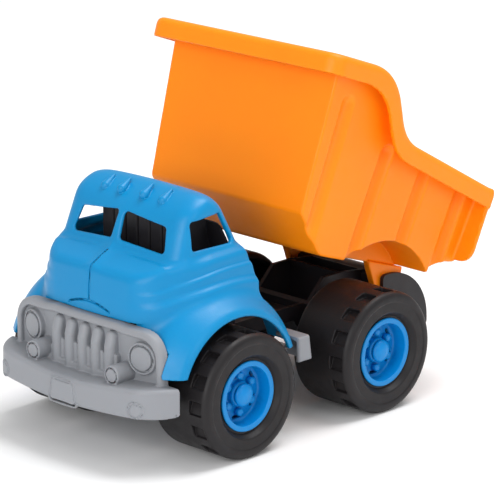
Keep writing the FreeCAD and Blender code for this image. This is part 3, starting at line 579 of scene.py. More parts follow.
def spread_copies(name: str, seed: bpy.types.Mesh, material: bpy.types.Material, kind: str,
                  sizes: dict[str, tuple[str, str, object]], turn: Sequence[float]) -> bpy.types.Mesh:
    """Set copies of one shape on the points of a mesh primitive with a Geometry Nodes tree.

    Args:
        name: name of the new mesh.
        seed: shape of one copy.
        material: finish of every copy.
        kind: type of the node that makes the points.
        sizes: each named input's socket on that node, its socket type and its value.
        turn: rotation of every copy.

    Returns:
        Mesh: the copies as one mesh.
    """
    source = bpy.data.objects.new(name + "_source", seed)
    bpy.context.scene.collection.objects.link(source)
    tree = bpy.data.node_groups.new(name + "_copies", "GeometryNodeTree")
    face = tree.interface
    face.new_socket("Geometry", in_out="OUTPUT", socket_type="NodeSocketGeometry")
    made = face.new_socket("Shape", in_out="INPUT", socket_type="NodeSocketObject")
    sockets = {}
    for key, (_, kin, _) in sizes.items():
        sockets[key] = face.new_socket(key, in_out="INPUT", socket_type=kin)
    nodes, links = tree.nodes, tree.links
    entry = nodes.new("NodeGroupInput")
    points = nodes.new(kind)
    copies = nodes.new("GeometryNodeInstanceOnPoints")
    info = nodes.new("GeometryNodeObjectInfo")
    realize = nodes.new("GeometryNodeRealizeInstances")
    dress = nodes.new("GeometryNodeSetMaterial")
    leave = nodes.new("NodeGroupOutput")
    dress.inputs["Material"].default_value = material
    copies.inputs["Rotation"].default_value = turn
    for key, (target, _, _) in sizes.items():
        links.new(entry.outputs[key], points.inputs[target])
    links.new(entry.outputs["Shape"], info.inputs["Object"])
    links.new(points.outputs["Mesh"], copies.inputs["Points"])
    links.new(info.outputs["Geometry"], copies.inputs["Instance"])
    links.new(copies.outputs["Instances"], realize.inputs["Geometry"])
    links.new(realize.outputs["Geometry"], dress.inputs["Geometry"])
    links.new(dress.outputs["Geometry"], leave.inputs["Geometry"])
    values = {sockets[key]: value for key, (_, _, value) in sizes.items()}
    mesh = run_tree(name, tree, {**values, made: source})
    bpy.data.objects.remove(source)
    return mesh


@dataclass
class RingOf:
    """Copies of one small shape set evenly on a circle about a line along X."""

    count: int
    radius: float
    centre: Vector
    facing_out: bool

    def make(self, name: str, seed: bpy.types.Mesh, material: bpy.types.Material) -> bpy.types.Object:
        """Return the ring as one piece, made from the shape of one copy along X."""
        sizes = {"Count": ("Vertices", "NodeSocketInt", self.count),
                 "Circle radius": ("Radius", "NodeSocketFloat", self.radius)}
        mesh = spread_copies(name, seed, material, "GeometryNodeMeshCircle", sizes, (0.0, -math.pi / 2, 0.0))
        turn = Matrix.Rotation(math.pi / 2 if self.facing_out else -math.pi / 2, 4, "Y")
        mesh.transform(Matrix.Translation(self.centre) @ turn)
        return link_piece(name, mesh)


@dataclass
class RowOf:
    """Copies of one small shape set evenly on a line along X."""

    count: int
    pitch: float
    start: Vector

    def make(self, name: str, seed: bpy.types.Mesh, material: bpy.types.Material) -> bpy.types.Object:
        """Return the row as one piece, made from the shape of one copy about its own origin."""
        sizes = {"Count": ("Count", "NodeSocketInt", self.count),
                 "Pitch": ("Offset", "NodeSocketVector", Vector((self.pitch, 0.0, 0.0))),
                 "Start": ("Start Location", "NodeSocketVector", self.start)}
        mesh = spread_copies(name, seed, material, "GeometryNodeMeshLine", sizes, (0.0, 0.0, 0.0))
        return link_piece(name, mesh)


def run_tree(name: str, tree: bpy.types.NodeTree, values: dict) -> bpy.types.Mesh:
    """Run a Geometry Nodes tree on an empty mesh and return the result as a plain mesh.

    Args:
        name: name of the new mesh.
        tree: node tree whose output is a realized geometry.
        values: value of each input socket.

    Returns:
        Mesh: the evaluated geometry.
    """
    host = bpy.data.objects.new(name + "_host", bpy.data.meshes.new(name + "_host"))
    bpy.context.scene.collection.objects.link(host)
    modifier = host.modifiers.new("nodes", "NODES")
    modifier.node_group = tree
    for socket, value in values.items():
        modifier[socket.identifier] = value
    evaluated = host.evaluated_get(bpy.context.evaluated_depsgraph_get())
    mesh = bpy.data.meshes.new_from_object(evaluated)
    mesh.name = name
    host.modifiers.remove(modifier)
    bpy.data.objects.remove(host)
    return mesh


# ------------------------------------------------------------------ dump bed
@dataclass
class DumpBed:
    """The orange bed: drafted walls, fluted sides, wheel arches and a rolled rim."""

    wall: float = 2.6
    floor_z: float = 70.0
    half_width: float = 61.5
    draft: float = 0.052
    fold: tuple[float, float] = (-17.9, 92.0)
    front_top: tuple[float, float] = (-19.8, 184.0)
    front_bottom: tuple[float, float] = (6.6, 70.0)
    rear_floor_y: float = 103.0
    rear_floor_z: float = 80.0
    rear_low: tuple[float, float] = (126.6, 81.0)
    rear_high: tuple[float, float] = (133.2, 129.0)
    rim_half: float = 76.4
    rim_front: float = -33.4
    rim_corner: float = 10.0
    rim_skirt: float = 12.0
    rim_round: float = 5.0
    flange_foot: float = 82.5
    arch_y: float = 69.0
    arch_z: float = 37.5
    arch_radius: float = 49.0
    arch_inner_x: float = 35.2
    flute_first: float = 40.5
    flute_pitch: float = 37.5
    flute_count: int = 3
    flute_radius: float = 5.7
    flute_depth: float = 3.7
    flute_lean: float = 0.09
    flute_length: float = 96.0
    column_y: float = -5.0
    column_radius: float = 6.4
    column_depth: float = 2.3
    lug_x: tuple[float, float] = (32.0, 37.0)
    lug_tip: float = 7.9
    pin_radius: float = 2.66
    step: float = 1.15

    def side(self, x: Array, y: Array, z: Array) -> Array:
        """Return the distance beyond the drafted side wall, flutes included."""
        wall = x - (self.half_width + self.draft * (z - self.floor_z))
        for i in range(self.flute_count):
            top_y = self.flute_first + self.flute_pitch * i
            top_z = 136.0 - 6.2 * i
            low_z = self.floor_z - 30.0
            out = self.flute_radius - self.flute_depth
            foot_y = top_y - self.flute_lean * self.flute_length
            a = (self.half_width + self.draft * (low_z - self.floor_z) + out, foot_y, low_z)
            b = (self.half_width + self.draft * (top_z - self.floor_z) + out, top_y, top_z)
            wall = smooth_max(wall, -capsule(x, y, z, a, b, self.flute_radius, self.flute_radius), 0.9)
        drift = (z - 120.0) * 0.03
        half = self.half_width + self.draft * (z - self.floor_z)
        column = np.hypot(x - half - self.column_radius + self.column_depth, y - self.column_y - drift)
        column = layer(column - self.column_radius, z, 40.0, 165.0, 6.0)
        return smooth_max(wall, -column, 1.2)

    def tub(self, x: Array, y: Array, z: Array) -> Array:
        """Return the solid tub, open above and behind, flutes included."""
        front = plane(y, z, self.fold, self.front_top)
        slant = plane(y, z, self.front_bottom, self.fold)
        floor = self.floor_z - z
        lift = plane(y, z, (118.0, self.rear_floor_z), (self.rear_floor_y, self.floor_z))
        shelf = self.rear_floor_z - z + (y - 118.0) * 0.1
        rise = np.where(y > self.rear_floor_y - 20.0, np.minimum(lift, shelf), lift)
        low = smooth_max(floor, rise, 3.0)
        belly = smooth_max(smooth_max(front, slant, 1.2), low, 3.0)
        return smooth_max(belly, self.side(x, y, z), 1.6)

    def rim_top(self, y: Array, z: Array) -> Array:
        """Return the height above the rim line, below zero under it."""
        ridge = plane(y, z, (-30.0, 185.4), (20.0, 184.2))
        hip = plane(y, z, (31.0, 168.6), (40.0, 152.6))
        high = smooth_max(ridge, hip, 16.0)
        low = plane(y, z, (48.0, 145.4), self.rear_high)
        return smooth_min(high, low, 10.0)

    def field(self, x: Array, y: Array, z: Array) -> Array:
        """Return the distance field of the lowered bed."""
        x = np.abs(x)
        tub = self.tub(x, y, z)
        radius = np.hypot(y - self.arch_y, z - self.arch_z)
        house = np.maximum(radius - self.arch_radius - self.wall, self.arch_inner_x - self.wall - x)
        inside = smooth_max(tub + self.wall, -house, 2.0)
        tub = cut(tub, inside)
        top = self.rim_top(y, z)
        rear = plane(y, z, self.rear_high, self.rear_low)
        plan = box_2d(x, y - 100.0 - self.rim_front, self.rim_half, 100.0, self.rim_corner)
        shape = smooth_max(top, plan, self.rim_round)
        under = np.maximum(top + self.wall, plan + self.wall)
        rim = np.maximum(np.maximum(shape, -(top + self.rim_skirt)), -under)
        foot = smooth_max(x - self.rim_half + 1.0, self.flange_foot - z, 9.0)
        back = smooth_max(np.maximum(foot, -(rear + self.wall)), top, 2.5)
        rim = smooth_min(rim, back, 1.5)
        rim = cut(rim, inside)
        bed = smooth_min(tub, rim, 1.8)
        bed = smooth_max(np.maximum(bed, top), rear, 1.2)
        bed = cut(bed, np.maximum(radius - self.arch_radius, self.arch_inner_x - x), 0.8)
        root = self.floor_z + 1.0
        tip_y, tip_z = DATUM.hinge_y, DATUM.hinge_z
        plate = polygon(y, z, [(79.0, root), (80.0, self.floor_z - 2.0), (tip_y - self.lug_tip, tip_z),
                               (tip_y + self.lug_tip, tip_z), (tip_y + self.lug_tip - 1.0, root)])
        eye = np.hypot(y - tip_y, z - tip_z)
        plate = np.minimum(plate, eye - self.lug_tip)
        lug = layer(plate, x, *self.lug_x, 0.8)
        bed = smooth_min(bed, lug, 1.0)
        return cut(bed, eye - self.pin_radius, 0.3)

    def make(self, finish: MouldedPlastic) -> bpy.types.Object:
        """Grow the bed, tip it to its rest place and set it on its body."""
        shell = Shell.grow(self.field, (0.0, -35.0, 38.0), (78.0, 136.0, 187.5), self.step)
        shell = shell.tipped(DATUM.tip_angle, DATUM.hinge_y, DATUM.hinge_z)
        piece = shell.make("dump_bed_look", finish.build())
        return settle(piece, Body.BED.value, ["dump_bed"])


def settle(piece: bpy.types.Object, body: str, nodes: Sequence[str] = ()) -> bpy.types.Object:
    """Tell the frame what a piece rides on and the nodes that it stands for.

    Args:
        piece: the finished object.
        body: body that carries it.
        nodes: nodes that it replaces.

    Returns:
        Object: the same piece.
    """
    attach(piece, body)
    if nodes:
        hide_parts(*nodes)
    return piece


# ------------------------------------------------------------------ cab
@dataclass
class Cab:
    """The blue cab: hood, stepped belt, round fenders, roof, window openings and roof lamps."""

    wall: float = 2.6
    nose_y: float = -105.8
    rear_y: float = -29.0
    roof_z: float = 149.8
    fender_x: float = 72.0
    fender_crown: float = 46.2
    arch_radius: float = 43.4
    bottom_z: float = 54.2
    step: float = 0.85

    def house(self, x: Array, y: Array, z: Array) -> Array:
        """Return the upper cab with its rounded roof."""
        lean = 0.38 * (z - 119.0)
        front = -(y + 86.0 - lean) + np.abs(x) * 0.10
        front = smooth_max(front, -(y + 61.0) - (150.0 - z) * 1.35, 7.0)
        rear = plane(y, z, (self.rear_y - 17.7, 143.0), (self.rear_y - 6.5, 120.5))
        side = x - 50.0 + np.maximum(z - 120.0, -8.0) * 0.07
        roof = z - self.roof_z + (x / 48.0) ** 2 * 2.0 + ((y + 60.0) / 20.0) ** 2 * 0.8
        body = smooth_max(smooth_max(front, side, 11.0), rear, 9.0)
        body = smooth_max(body, roof, 11.0)
        return np.maximum(body, 96.0 - z)

    def lower(self, x: Array, y: Array, z: Array) -> Array:
        """Return the hood, which widens into the two belt steps along the sides of the cab."""
        back = np.clip((-60.0 - y) / 46.0, 0.0, 1.0)
        half = 56.0 - 19.5 * back ** 2
        crest = z - 107.4 - np.clip(y + 103.0, 0.0, 14.0) * 0.42 - np.clip(y + 89.0, 0.0, 60.0) * 0.03
        crest = crest + (x / 34.0) ** 2 * 1.2 * back
        nose = -(y - self.nose_y) + (x / 36.0) ** 2 * 1.6 + np.maximum(z - 84.0, 0.0) * 0.06
        sides = x - half + np.maximum(z - 96.0, 0.0) * 0.08
        upper = smooth_max(smooth_max(sides, nose, 9.0), crest, 5.0)
        top = 106.4 - (np.minimum(y, -45.0) + 45.0) ** 2 * 0.0030
        middle = smooth_max(smooth_max(sides - 1.7, nose + 0.6, 9.0), z - top + (x - half) * 0.3, 1.6)
        top = 99.2 - (y + 52.0) ** 2 * 0.0034
        lower = smooth_max(smooth_max(x - half - 4.4, nose + 1.2, 9.0), z - top + (x - half) * 0.2, 3.0)
        body = smooth_min(smooth_min(upper, middle, 0.8), lower, 1.8)
        rear = y - self.rear_y + np.maximum(z - 97.0, 0.0) * 0.27
        return smooth_max(body, rear, 2.0)

    def fender(self, x: Array, y: Array, z: Array) -> Array:
        """Return one round fender about the front axle, its crown rising towards the cab."""
        r = np.hypot(y + DATUM.wheelbase / 2, z - 38.2)
        inward = np.clip((self.fender_x - x) / 20.0, 0.0, 1.0)
        crown = r - self.fender_crown - 10.0 * np.sin(inward * math.pi / 2)
        return smooth_max(crown, x - self.fender_x, 3.0)

    def creases(self, x: Array, y: Array, z: Array) -> Array:
        """Return the fine lines pressed in the hood: one down the middle, one arched across the nose."""
        middle = np.maximum(x - 0.6, np.maximum(y + 90.5, 87.0 - z))
        arch = 86.6 - (x / 19.0) ** 2 * 4.6
        across = np.maximum(np.abs(z - arch) - 0.6, np.maximum(x - 17.0, y + 96.0))
        return np.minimum(middle, across)

    def outside(self, x: Array, y: Array, z: Array) -> Array:
        """Return the solid outside of the cab before it is hollowed."""
        lower = self.lower(x, y, z)
        body = smooth_min(lower, self.house(x, y, z), 3.0)
        fender = smooth_max(self.fender(x, y, z), 28.0 - x, 6.0)
        return smooth_min(body, fender, 5.0)

    def windows(self, x: Array, y: Array, z: Array) -> Array:
        """Return the window openings as one field."""
        pane = polygon(x, z, [(5.4, 121.0), (35.0, 118.6), (32.6, 128.6), (4.6, 132.0)]) - 2.2
        pane = np.maximum(pane, y + 70.0)
        side = polygon(y, z, [(-69.6, 120.2), (-42.6, 119.8), (-50.4, 134.0), (-69.0, 132.4)]) - 2.2
        side = np.maximum(side, 38.0 - x)
        return np.minimum(pane, side)

    def roof_lamps(self, x: Array, y: Array, z: Array) -> Array:
        """Return the teardrop lamps along the front of the roof."""
        lamps = np.full(np.shape(x + y + z), 1e3, np.float32)
        for lamp_x, lamp_y, lamp_z in ((9.2, -70.4, 143.6), (23.7, -69.4, 142.8)):
            nose = (lamp_x, lamp_y, lamp_z)
            tail = (lamp_x, lamp_y + 6.2, lamp_z + 4.6)
            lamps = np.minimum(lamps, capsule(x, y, z, nose, tail, 3.0, 0.9))
        return lamps

    def field(self, x: Array, y: Array, z: Array) -> Array:
        """Return the distance field of the hollow cab."""
        x = np.abs(x)
        outer = self.outside(x, y, z)
        shell = cut(outer, outer + self.wall)
        shell = cut(shell, np.maximum(self.creases(x, y, z), -(outer + 0.9)), 0.3)
        arch = np.hypot(y + DATUM.wheelbase / 2, z - DATUM.axle_z - 1.2) - self.arch_radius
        shell = cut(shell, np.maximum(arch, 30.0 - x), 0.8)
        behind = np.maximum(x - 43.0, -(y - self.rear_y + 8.0 + np.maximum(z - 96.0, 0) * 0.25))
        shell = cut(shell, np.maximum(behind, z - 143.0), 1.0)
        clip_room = np.maximum(box_2d(x, z - 50.0, 61.0, 30.2, 14.0), y + 101.6)
        shell = cut(shell, clip_room, 0.4)
        shell = cut(shell, self.windows(x, y, z), 1.6)
        shell = smooth_min(shell, np.maximum(self.roof_lamps(x, y, z), -(outer + 1.2)), 0.5)
        return np.maximum(shell, self.bottom_z - z)

    def make(self, finish: MouldedPlastic) -> bpy.types.Object:
        """Grow the cab and set it on the chassis."""
        shell = Shell.grow(self.field, (0.0, -108.0, 52.0), (74.5, -4.0, 152.0), self.step)
        piece = shell.make("cab_shell_look", finish.build())
        return settle(piece, Body.ROOT.value, ["cab_shell"])


@dataclass
class CabLiner:
    """The black block, back panel and bulkhead inside and behind the cab, with a row of upright planks."""

    gap: float = 0.3
    half: float = 30.0
    front: float = -66.0
    low: float = 57.2
    top: float = 136.6
    plank_count: int = 6
    plank_reach: float = 1.3
    bulkhead_half: float = 34.8
    bulkhead_rear: float = -23.2
    bulkhead_top: float = 107.8
    neck_half: float = 21.8
    neck_top: float = 76.0
    panel_half: float = 47.5
    panel_low: float = 77.0
    panel_inset: float = 7.6
    lean_from: float = 97.0
    lean: float = 0.21
    hood_slope: float = 0.12
    shell: float = 2.6
    step: float = 0.95

    def field(self, x: Array, y: Array, z: Array) -> Array:
        """Return the distance field of the liner."""
        x = np.abs(x)
        cab = Cab()
        room = cab.outside(x, y, z) + cab.wall + self.gap
        panel_y = cab.rear_y - self.panel_inset
        face = y - panel_y - self.shell + np.maximum(z - self.lean_from, 0.0) * self.lean
        middle, rise = (self.low + self.top) / 2, (self.top - self.low) / 2
        block = np.maximum(box_2d(x, z - middle, self.half, rise, 1.6), np.maximum(self.front - y, face))
        hollow = np.maximum(np.maximum(x - self.half + self.shell, z - self.top + self.shell),
                            np.maximum(self.front + self.shell - y, self.low + 5.8 - z))
        panel = np.maximum(np.maximum(face, -(face + self.shell)), x - self.panel_half)
        panel = np.maximum(panel, self.panel_low - z)
        inner = np.maximum(np.minimum(block, panel), np.where(z > self.neck_top, room, x - self.neck_half))
        rear = self.bulkhead_rear
        hood = layer(x - self.bulkhead_half, y, panel_y, rear, 0.8)
        lid = z - self.bulkhead_top - (rear - y) * self.hood_slope
        hood = smooth_max(np.maximum(hood, self.low - z), lid, 2.0)
        bay = np.maximum(x - self.bulkhead_half + self.shell, panel_y + self.shell - y)
        bay = np.maximum(bay, np.maximum(z - self.bulkhead_top + self.shell, self.low + 3.0 - z))
        liner = np.minimum(inner, cut(hood, bay, 0.6))
        return cut(liner, hollow, 0.5)

    def plank(self) -> bpy.types.Mesh:
        """Return one upright plank with rounded edges, about the middle of its foot."""
        pitch = 2 * self.half / self.plank_count
        half = pitch / 2 - 0.55
        low, high = self.low + 21.0, self.top - 5.0
        outline = [(-half, 0.6), (-half, -self.plank_reach + 0.6), (-half + 0.6, -self.plank_reach),
                   (half - 0.6, -self.plank_reach), (half, -self.plank_reach + 0.6), (half, 0.6)]
        form = bmesh.new()
        rings = []
        for z, inset in ((low, 0.5), (low + 0.6, 0.0), (high - 0.6, 0.0), (high, 0.5)):
            rings.append([form.verts.new((x * MM * (1 - inset / half), (y + inset * (y < 0)) * MM, z * MM))
                          for x, y in outline])
        for one, two in zip(rings, rings[1:]):
            for i in range(len(outline)):
                j = (i + 1) % len(outline)
                form.faces.new((one[i], one[j], two[j], two[i]))
        form.faces.new(rings[0])
        form.faces.new(rings[-1])
        bmesh.ops.recalc_face_normals(form, faces=form.faces)
        mesh = bpy.data.meshes.new("cab_plank")
        form.to_mesh(mesh)
        form.free()
        return mesh

    def make(self, finish: MouldedPlastic) -> bpy.types.Object:
        """Grow the liner, set its planks in a row and put both on the chassis."""
        material = finish.build()
        shell = Shell.grow(self.field, (0.0, -70.0, 55.0), (50.0, -20.0, 140.0), self.step)
        body = shell.make("cab_liner_look", material)
        settle(body, Body.ROOT.value, ["cab_back_box"])
        pitch = 2 * self.half / self.plank_count
        start = Vector(((-self.half + pitch / 2) * MM, (self.front + DATUM.shift_y) * MM, 0.0))
        planks = RowOf(self.plank_count, pitch * MM, start).make("cab_planks_look", self.plank(), material)
        return settle(planks, Body.ROOT.value)


# ------------------------------------------------------------------ front clip
@dataclass
class FrontClip:
    """The grey clip: bowed bumper, grille surround with its teeth, lamps, belly pan and rear steps."""

    wall: float = 2.6
    bumper_low: float = 29.2
    bumper_high: float = 47.6
    bumper_front: float = -126.6
    bumper_half: float = 72.4
    lift_from: float = 12.0
    lift_run: float = 44.0
    lift_slope: float = 0.075
    tip_z: float = 42.0
    tip_from: float = 32.0
    tip_half: float = 12.2
    bumper_end: float = -102.6
    grille_half: float = 61.0
    grille_top: float = 80.0
    grille_corner: float = 15.0
    grille_front: float = -110.3
    grille_back: float = -102.0
    recess: float = 3.4
    surround: float = 4.6
    tooth_count: int = 5
    tooth_pitch: float = 11.0
    lamp: tuple[float, float, float] = (45.5, 63.0, 9.4)
    fog: tuple[float, float, float] = (32.9, 52.9, 5.8)
    fog_front: float = -119.6
    face_step: float = 0.66
    pan_step: float = 0.9

    def bumper(self, x: Array, y: Array, z: Array) -> Array:
        """Return the bumper, bowed forward in the middle and turned back at its ends."""
        bow = self.bumper_front + (x / 60.0) ** 2 * 5.4 + np.maximum(x - 52.0, 0.0) ** 2 * 0.042
        lift = np.clip(x - self.lift_from, 0.0, self.lift_run) * self.lift_slope
        low = self.bumper_low + lift * 0.9
        high = self.bumper_high - 1.0 + lift
        front = bow - y
        band = smooth_max(z - high, low - z, 1.0)
        tip = box_2d(z - self.tip_z, x - self.tip_from, self.tip_half, self.bumper_half - self.tip_from, 8.0)
        block = smooth_max(smooth_max(front, tip, 5.0), band, 3.0)
        block = np.maximum(block, y - self.bumper_end)
        hollow = np.maximum(front + self.wall, x - self.bumper_half + self.wall)
        return cut(block, np.maximum(hollow, z - high + self.wall), 0.6)

    def grille_outline(self, x: Array, z: Array, inset: float) -> Array:
        """Return the flat outline of the grille surround, drawn in by inset."""
        low = self.bumper_low - 30.0
        middle = (self.grille_top + low) / 2
        tall = (self.grille_top - low) / 2 - inset
        radius = max(self.grille_corner - inset, 1.0)
        crown = np.clip(np.abs(x) - 26.0, 0.0, 8.0) * 0.12
        return box_2d(x, z + crown - middle, self.grille_half - inset, tall, radius)

    def grille(self, x: Array, y: Array, z: Array) -> Array:
        """Return the surround, its recessed face, the teeth, lamps and fog lamps."""
        sweep = self.grille_front + (x / 60.0) ** 2 * 2.6
        depth = y - sweep
        outline = self.grille_outline(x, z, 0.0)
        plate = smooth_max(outline, -depth, 3.0)
        plate = np.maximum(plate, y - self.grille_back)
        plate = np.maximum(plate, self.bumper_low + 6.0 - z)
        face = self.recess
        well = np.maximum(self.grille_outline(x, z, self.surround), depth - face)
        well = np.maximum(well, self.bumper_high - 2.0 - z)
        plate = cut(plate, well, 1.6)
        back = np.maximum(self.grille_outline(x, z, self.wall), -(depth - face - self.wall))
        plate = cut(plate, back, 0.4)
        for i in range(self.tooth_count // 2 + 1):
            centre = i * self.tooth_pitch
            bulge = -(depth - face) - 6.2 + (x - centre) ** 2 * 0.13 + np.maximum(z - 66.0, 0.0) * 0.30
            wide = box_2d(x - centre, z - 56.0, 3.7, 18.4, 3.6)
            tooth = smooth_max(wide, bulge, 1.6)
            part = tooth
            for out in (-1, 1):
                shoulder = box_2d(x - centre - out * 3.9, z - 48.0, 1.5, 13.6, 1.4)
                part = smooth_min(part, smooth_max(shoulder, -(depth - face) - 3.6, 1.0), 0.4)
            part = np.maximum(part, depth - face - 1.0)
            plate = smooth_min(plate, part, 0.5)
        sill = box_2d(depth - face + 1.5, z - self.bumper_high - 0.6, 3.6, 2.0, 1.2)
        plate = smooth_min(plate, np.maximum(sill, x - 30.0), 0.8)
        turn = 0.12
        lamp_x, lamp_z, lamp_r = self.lamp
        away = np.hypot(x - lamp_x, z - lamp_z)
        front = depth - face + 3.0 - (x - lamp_x) * turn
        shell = smooth_max(away - lamp_r, -front, 1.0)
        shell = np.maximum(shell, depth - face - 1.0)
        lens = np.maximum(away - lamp_r + 1.9, -front - 0.9 + away ** 2 * 0.012)
        lens = np.maximum(lens, depth - face - 1.0)
        groove = np.maximum(np.abs(away - lamp_r + 1.9) - 0.55, front - 1.4)
        plate = smooth_min(plate, np.minimum(shell, lens), 1.2)
        plate = cut(plate, np.maximum(groove, -front - 3.0), 0.3)
        fog_x, fog_z, fog_r = self.fog
        ring = np.hypot(x - fog_x, z - fog_z)
        barrel = smooth_max(ring - fog_r, self.fog_front - y, 1.0)
        barrel = np.maximum(barrel, depth - face - 1.0)
        rib = np.abs(ring - fog_r + 1.5) - 0.45
        barrel = cut(barrel, np.maximum(rib, y - self.fog_front - 0.8), 0.3)
        return smooth_min(plate, barrel, 0.8)

    def bumper_marks(self, x: Array, y: Array, z: Array) -> Array:
        """Return the round buttons and the blank plate on the bumper's face."""
        bow = self.bumper_front + (x / 60.0) ** 2 * 5.4 + np.maximum(x - 52.0, 0.0) ** 2 * 0.042
        out = y - bow
        ring = np.hypot(x - 54.7, z - 37.0 - 1.0)
        button = np.maximum(np.minimum(np.abs(ring - 4.6) - 0.45, ring - 3.4), -out - 0.45)
        edge = box_2d(x * (1.0 + (z - 37.8) * 0.018), z - 37.8, 10.6, 7.6, 3.0)
        plate = np.maximum(np.minimum(np.abs(edge) - 0.45, edge + 1.6), -out - 0.4)
        return np.maximum(np.minimum(button, plate), out - 1.2)

    def field(self, x: Array, y: Array, z: Array) -> Array:
        """Return the distance field of the clip's front."""
        x = np.abs(x)
        clip = smooth_min(self.bumper(x, y, z), self.grille(x, y, z), 1.0)
        return smooth_min(clip, self.bumper_marks(x, y, z), 0.4)

    def belly(self, x: Array, y: Array, z: Array) -> Array:
        """Return the distance field of the belly pan, its riser, the beam and the two steps."""
        x = np.abs(x)
        pan = np.maximum(box_2d(x, y + 59.0, 29.8, 53.0, 2.0), span(z, 27.6, 29.9))
        riser = np.maximum(x - 29.8, np.maximum(span(y, -8.5, -6.1), span(z, 27.8, 47.8)))
        beam = np.maximum(x - 54.0, np.maximum(span(y, -8.4, 2.8), span(z, 45.1, 47.9)))
        base = smooth_min(np.minimum(pan, riser), beam, 1.0)
        block = polygon(y, z, [(-8.6, 43.5), (2.6, 43.5), (0.4, 58.6), (-8.6, 58.6)])
        step = layer(block, x, 52.2, 71.8, 1.4)
        bay = np.maximum(span(y, -12.0, -0.6), np.maximum(z - 56.0, x - 69.2))
        step = cut(step, bay, 0.5)
        base = np.minimum(base, step)
        for y_plug in (-88.0, -36.0):
            base = cut(base, np.hypot(x - 12.0, y - y_plug) - 3.02)
        return base

    def make(self, finish: MouldedPlastic) -> bpy.types.Object:
        """Grow the clip in two pieces and set them on the chassis."""
        material = finish.build()
        face = Shell.grow(self.field, (0.0, -128.6, 27.5), (74.0, -100.5, 82.0), self.face_step)
        front = face.make("front_clip_look", material)
        settle(front, Body.ROOT.value, ["front_clip"])
        under = Shell.grow(self.belly, (0.0, -123.5, 26.0), (73.0, 4.5, 60.5), self.pan_step)
        return settle(under.make("belly_pan_look", material), Body.ROOT.value)


# ------------------------------------------------------------------ carried-over pieces
def dress_nodes(finish: MouldedPlastic, nodes: Sequence[str]) -> None:
    """Give nodes that keep their own shape a finish."""
    material = finish.build()
    for name in nodes:
        node = frame["nodes"][name]
        node.data.materials.clear()
        node.data.materials.append(material)


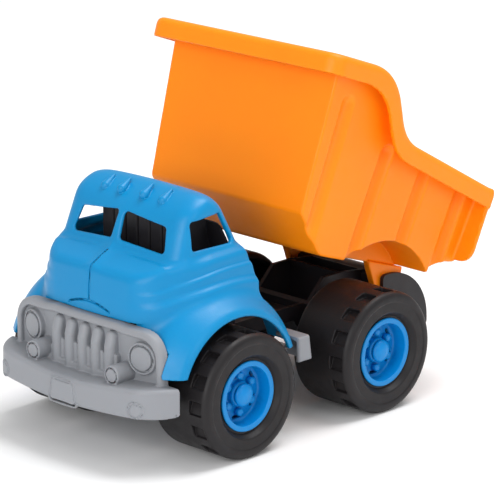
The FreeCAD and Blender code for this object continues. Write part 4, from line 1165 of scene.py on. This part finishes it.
# ------------------------------------------------------------------ studio
@dataclass
class Studio:
    """A seamless pale floor, soft lamps and the camera."""

    azimuth: float = 44.818
    elevation: float = 16.032
    distance: float = 1868.6
    target_y: float = 23.6
    target_z: float = 90.0
    lens: float = 227.3
    floor_half: float = 12.0

    def floor(self) -> None:
        """Lay the pale floor."""
        material = bpy.data.materials.new("studio_floor")
        material.use_nodes = True
        nodes, links = material.node_tree.nodes, material.node_tree.links
        shader = nodes["Principled BSDF"]
        place = nodes.new("ShaderNodeTexCoord")
        noise = nodes.new("ShaderNodeTexNoise")
        noise.inputs["Scale"].default_value = 900.0
        bump = nodes.new("ShaderNodeBump")
        bump.inputs["Strength"].default_value = 0.15
        bump.inputs["Distance"].default_value = 0.0002
        links.new(place.outputs["Object"], noise.inputs["Vector"])
        links.new(noise.outputs["Fac"], bump.inputs["Height"])
        links.new(bump.outputs["Normal"], shader.inputs["Normal"])
        shader.inputs["Base Color"].default_value = (0.93, 0.93, 0.935, 1)
        shader.inputs["Roughness"].default_value = 0.8
        form = bmesh.new()
        bmesh.ops.create_grid(form, x_segments=8, y_segments=8, size=self.floor_half)
        mesh = bpy.data.meshes.new("studio_floor")
        form.to_mesh(mesh)
        form.free()
        mesh.materials.append(material)
        link_piece("studio_floor", mesh)

    def lamp(self, name: str, place: Sequence[float], size: float, power: float) -> None:
        """Hang one square soft lamp that faces the truck."""
        data = bpy.data.lights.new(name, "AREA")
        data.size = size
        data.energy = power
        lamp = bpy.data.objects.new(name, data)
        lamp.location = place
        lamp.rotation_euler = (Vector((0, 0, 0.08)) - Vector(place)).to_track_quat("-Z", "Y").to_euler()
        bpy.context.scene.collection.objects.link(lamp)

    def sky(self) -> None:
        """Fill the shadows with an even white surround."""
        world = bpy.data.worlds.new("studio_air")
        world.use_nodes = True
        world.node_tree.nodes["Background"].inputs["Color"].default_value = (1, 1, 1, 1)
        world.node_tree.nodes["Background"].inputs["Strength"].default_value = 0.54
        bpy.context.scene.world = world

    def camera(self) -> None:
        """Place the camera."""
        data = bpy.data.cameras.new("camera")
        data.lens = self.lens
        data.sensor_width = 36.0
        data.clip_end = 100.0
        a, e = math.radians(self.azimuth), math.radians(self.elevation)
        back = Vector((math.sin(a) * math.cos(e), -math.cos(a) * math.cos(e), math.sin(e)))
        target = Vector((0.0, (self.target_y + DATUM.shift_y) * MM, self.target_z * MM))
        camera = bpy.data.objects.new("camera", data)
        camera.location = target + back * self.distance * MM
        camera.rotation_euler = (-back).to_track_quat("-Z", "Y").to_euler()
        bpy.context.scene.collection.objects.link(camera)
        bpy.context.scene.camera = camera

    def make(self) -> None:
        """Build the whole studio."""
        self.floor()
        self.sky()
        self.lamp("top_lamp", (0.25, 0.75, 2.1), 1.3, 42.0)
        self.lamp("front_lamp", (0.75, -2.1, 1.0), 1.3, 27.0)
        self.lamp("side_lamp", (2.0, -0.3, 1.2), 1.0, 6.0)
        self.camera()
        bpy.context.scene.view_settings.view_transform = "Standard"


def build_wheels() -> None:
    """Build the four wheels and set each on its own body."""
    wheel = Wheel()
    tyre, hub = wheel.tyre(), wheel.hub()
    tyre_finish, hub_finish = TYRE_BLACK.build(), HUB_BLUE.build()
    for end, y in (("front", -DATUM.wheelbase / 2), ("rear", DATUM.wheelbase / 2)):
        for side in Side:
            place = end + "_" + side.name.lower()
            body = "wheel_" + place
            for kind, shell, material, finish in (("tyre", tyre, tyre_finish, TYRE_BLACK),
                                                  ("hub", hub, hub_finish, HUB_BLUE)):
                made = shell if side is Side.LEFT else shell.mirrored()
                piece = made.moved((0, y, DATUM.axle_z)).make(kind + "_" + place + "_look", material)
                settle(piece, body, [kind + "_" + place])
            lugs = wheel.lugs("hub_lugs_" + place, side, y, hub_finish)
            settle(lugs, body)
            cap = wheel.cap("axle_cap_" + place + "_look", side, y, hub_finish)
            settle(cap, Body.ROOT.value, ["axle_cap_" + place])


def main() -> None:
    """Build the truck and the studio in order."""
    logging.basicConfig(level=logging.INFO, format="%(message)s")
    build_wheels()
    DumpBed().make(BED_ORANGE)
    Cab().make(CAB_BLUE)
    FrontClip().make(TRIM_GREY)
    CabLiner().make(CHASSIS_BLACK)
    dress_nodes(CHASSIS_BLACK, ["chassis", "axle_front", "axle_rear", "body_plugs",
                                "bed_hinge_pin_left", "bed_hinge_pin_right"])
    Studio().make()


DATUM = Datum.read()

if __name__ == "__main__":
    main()
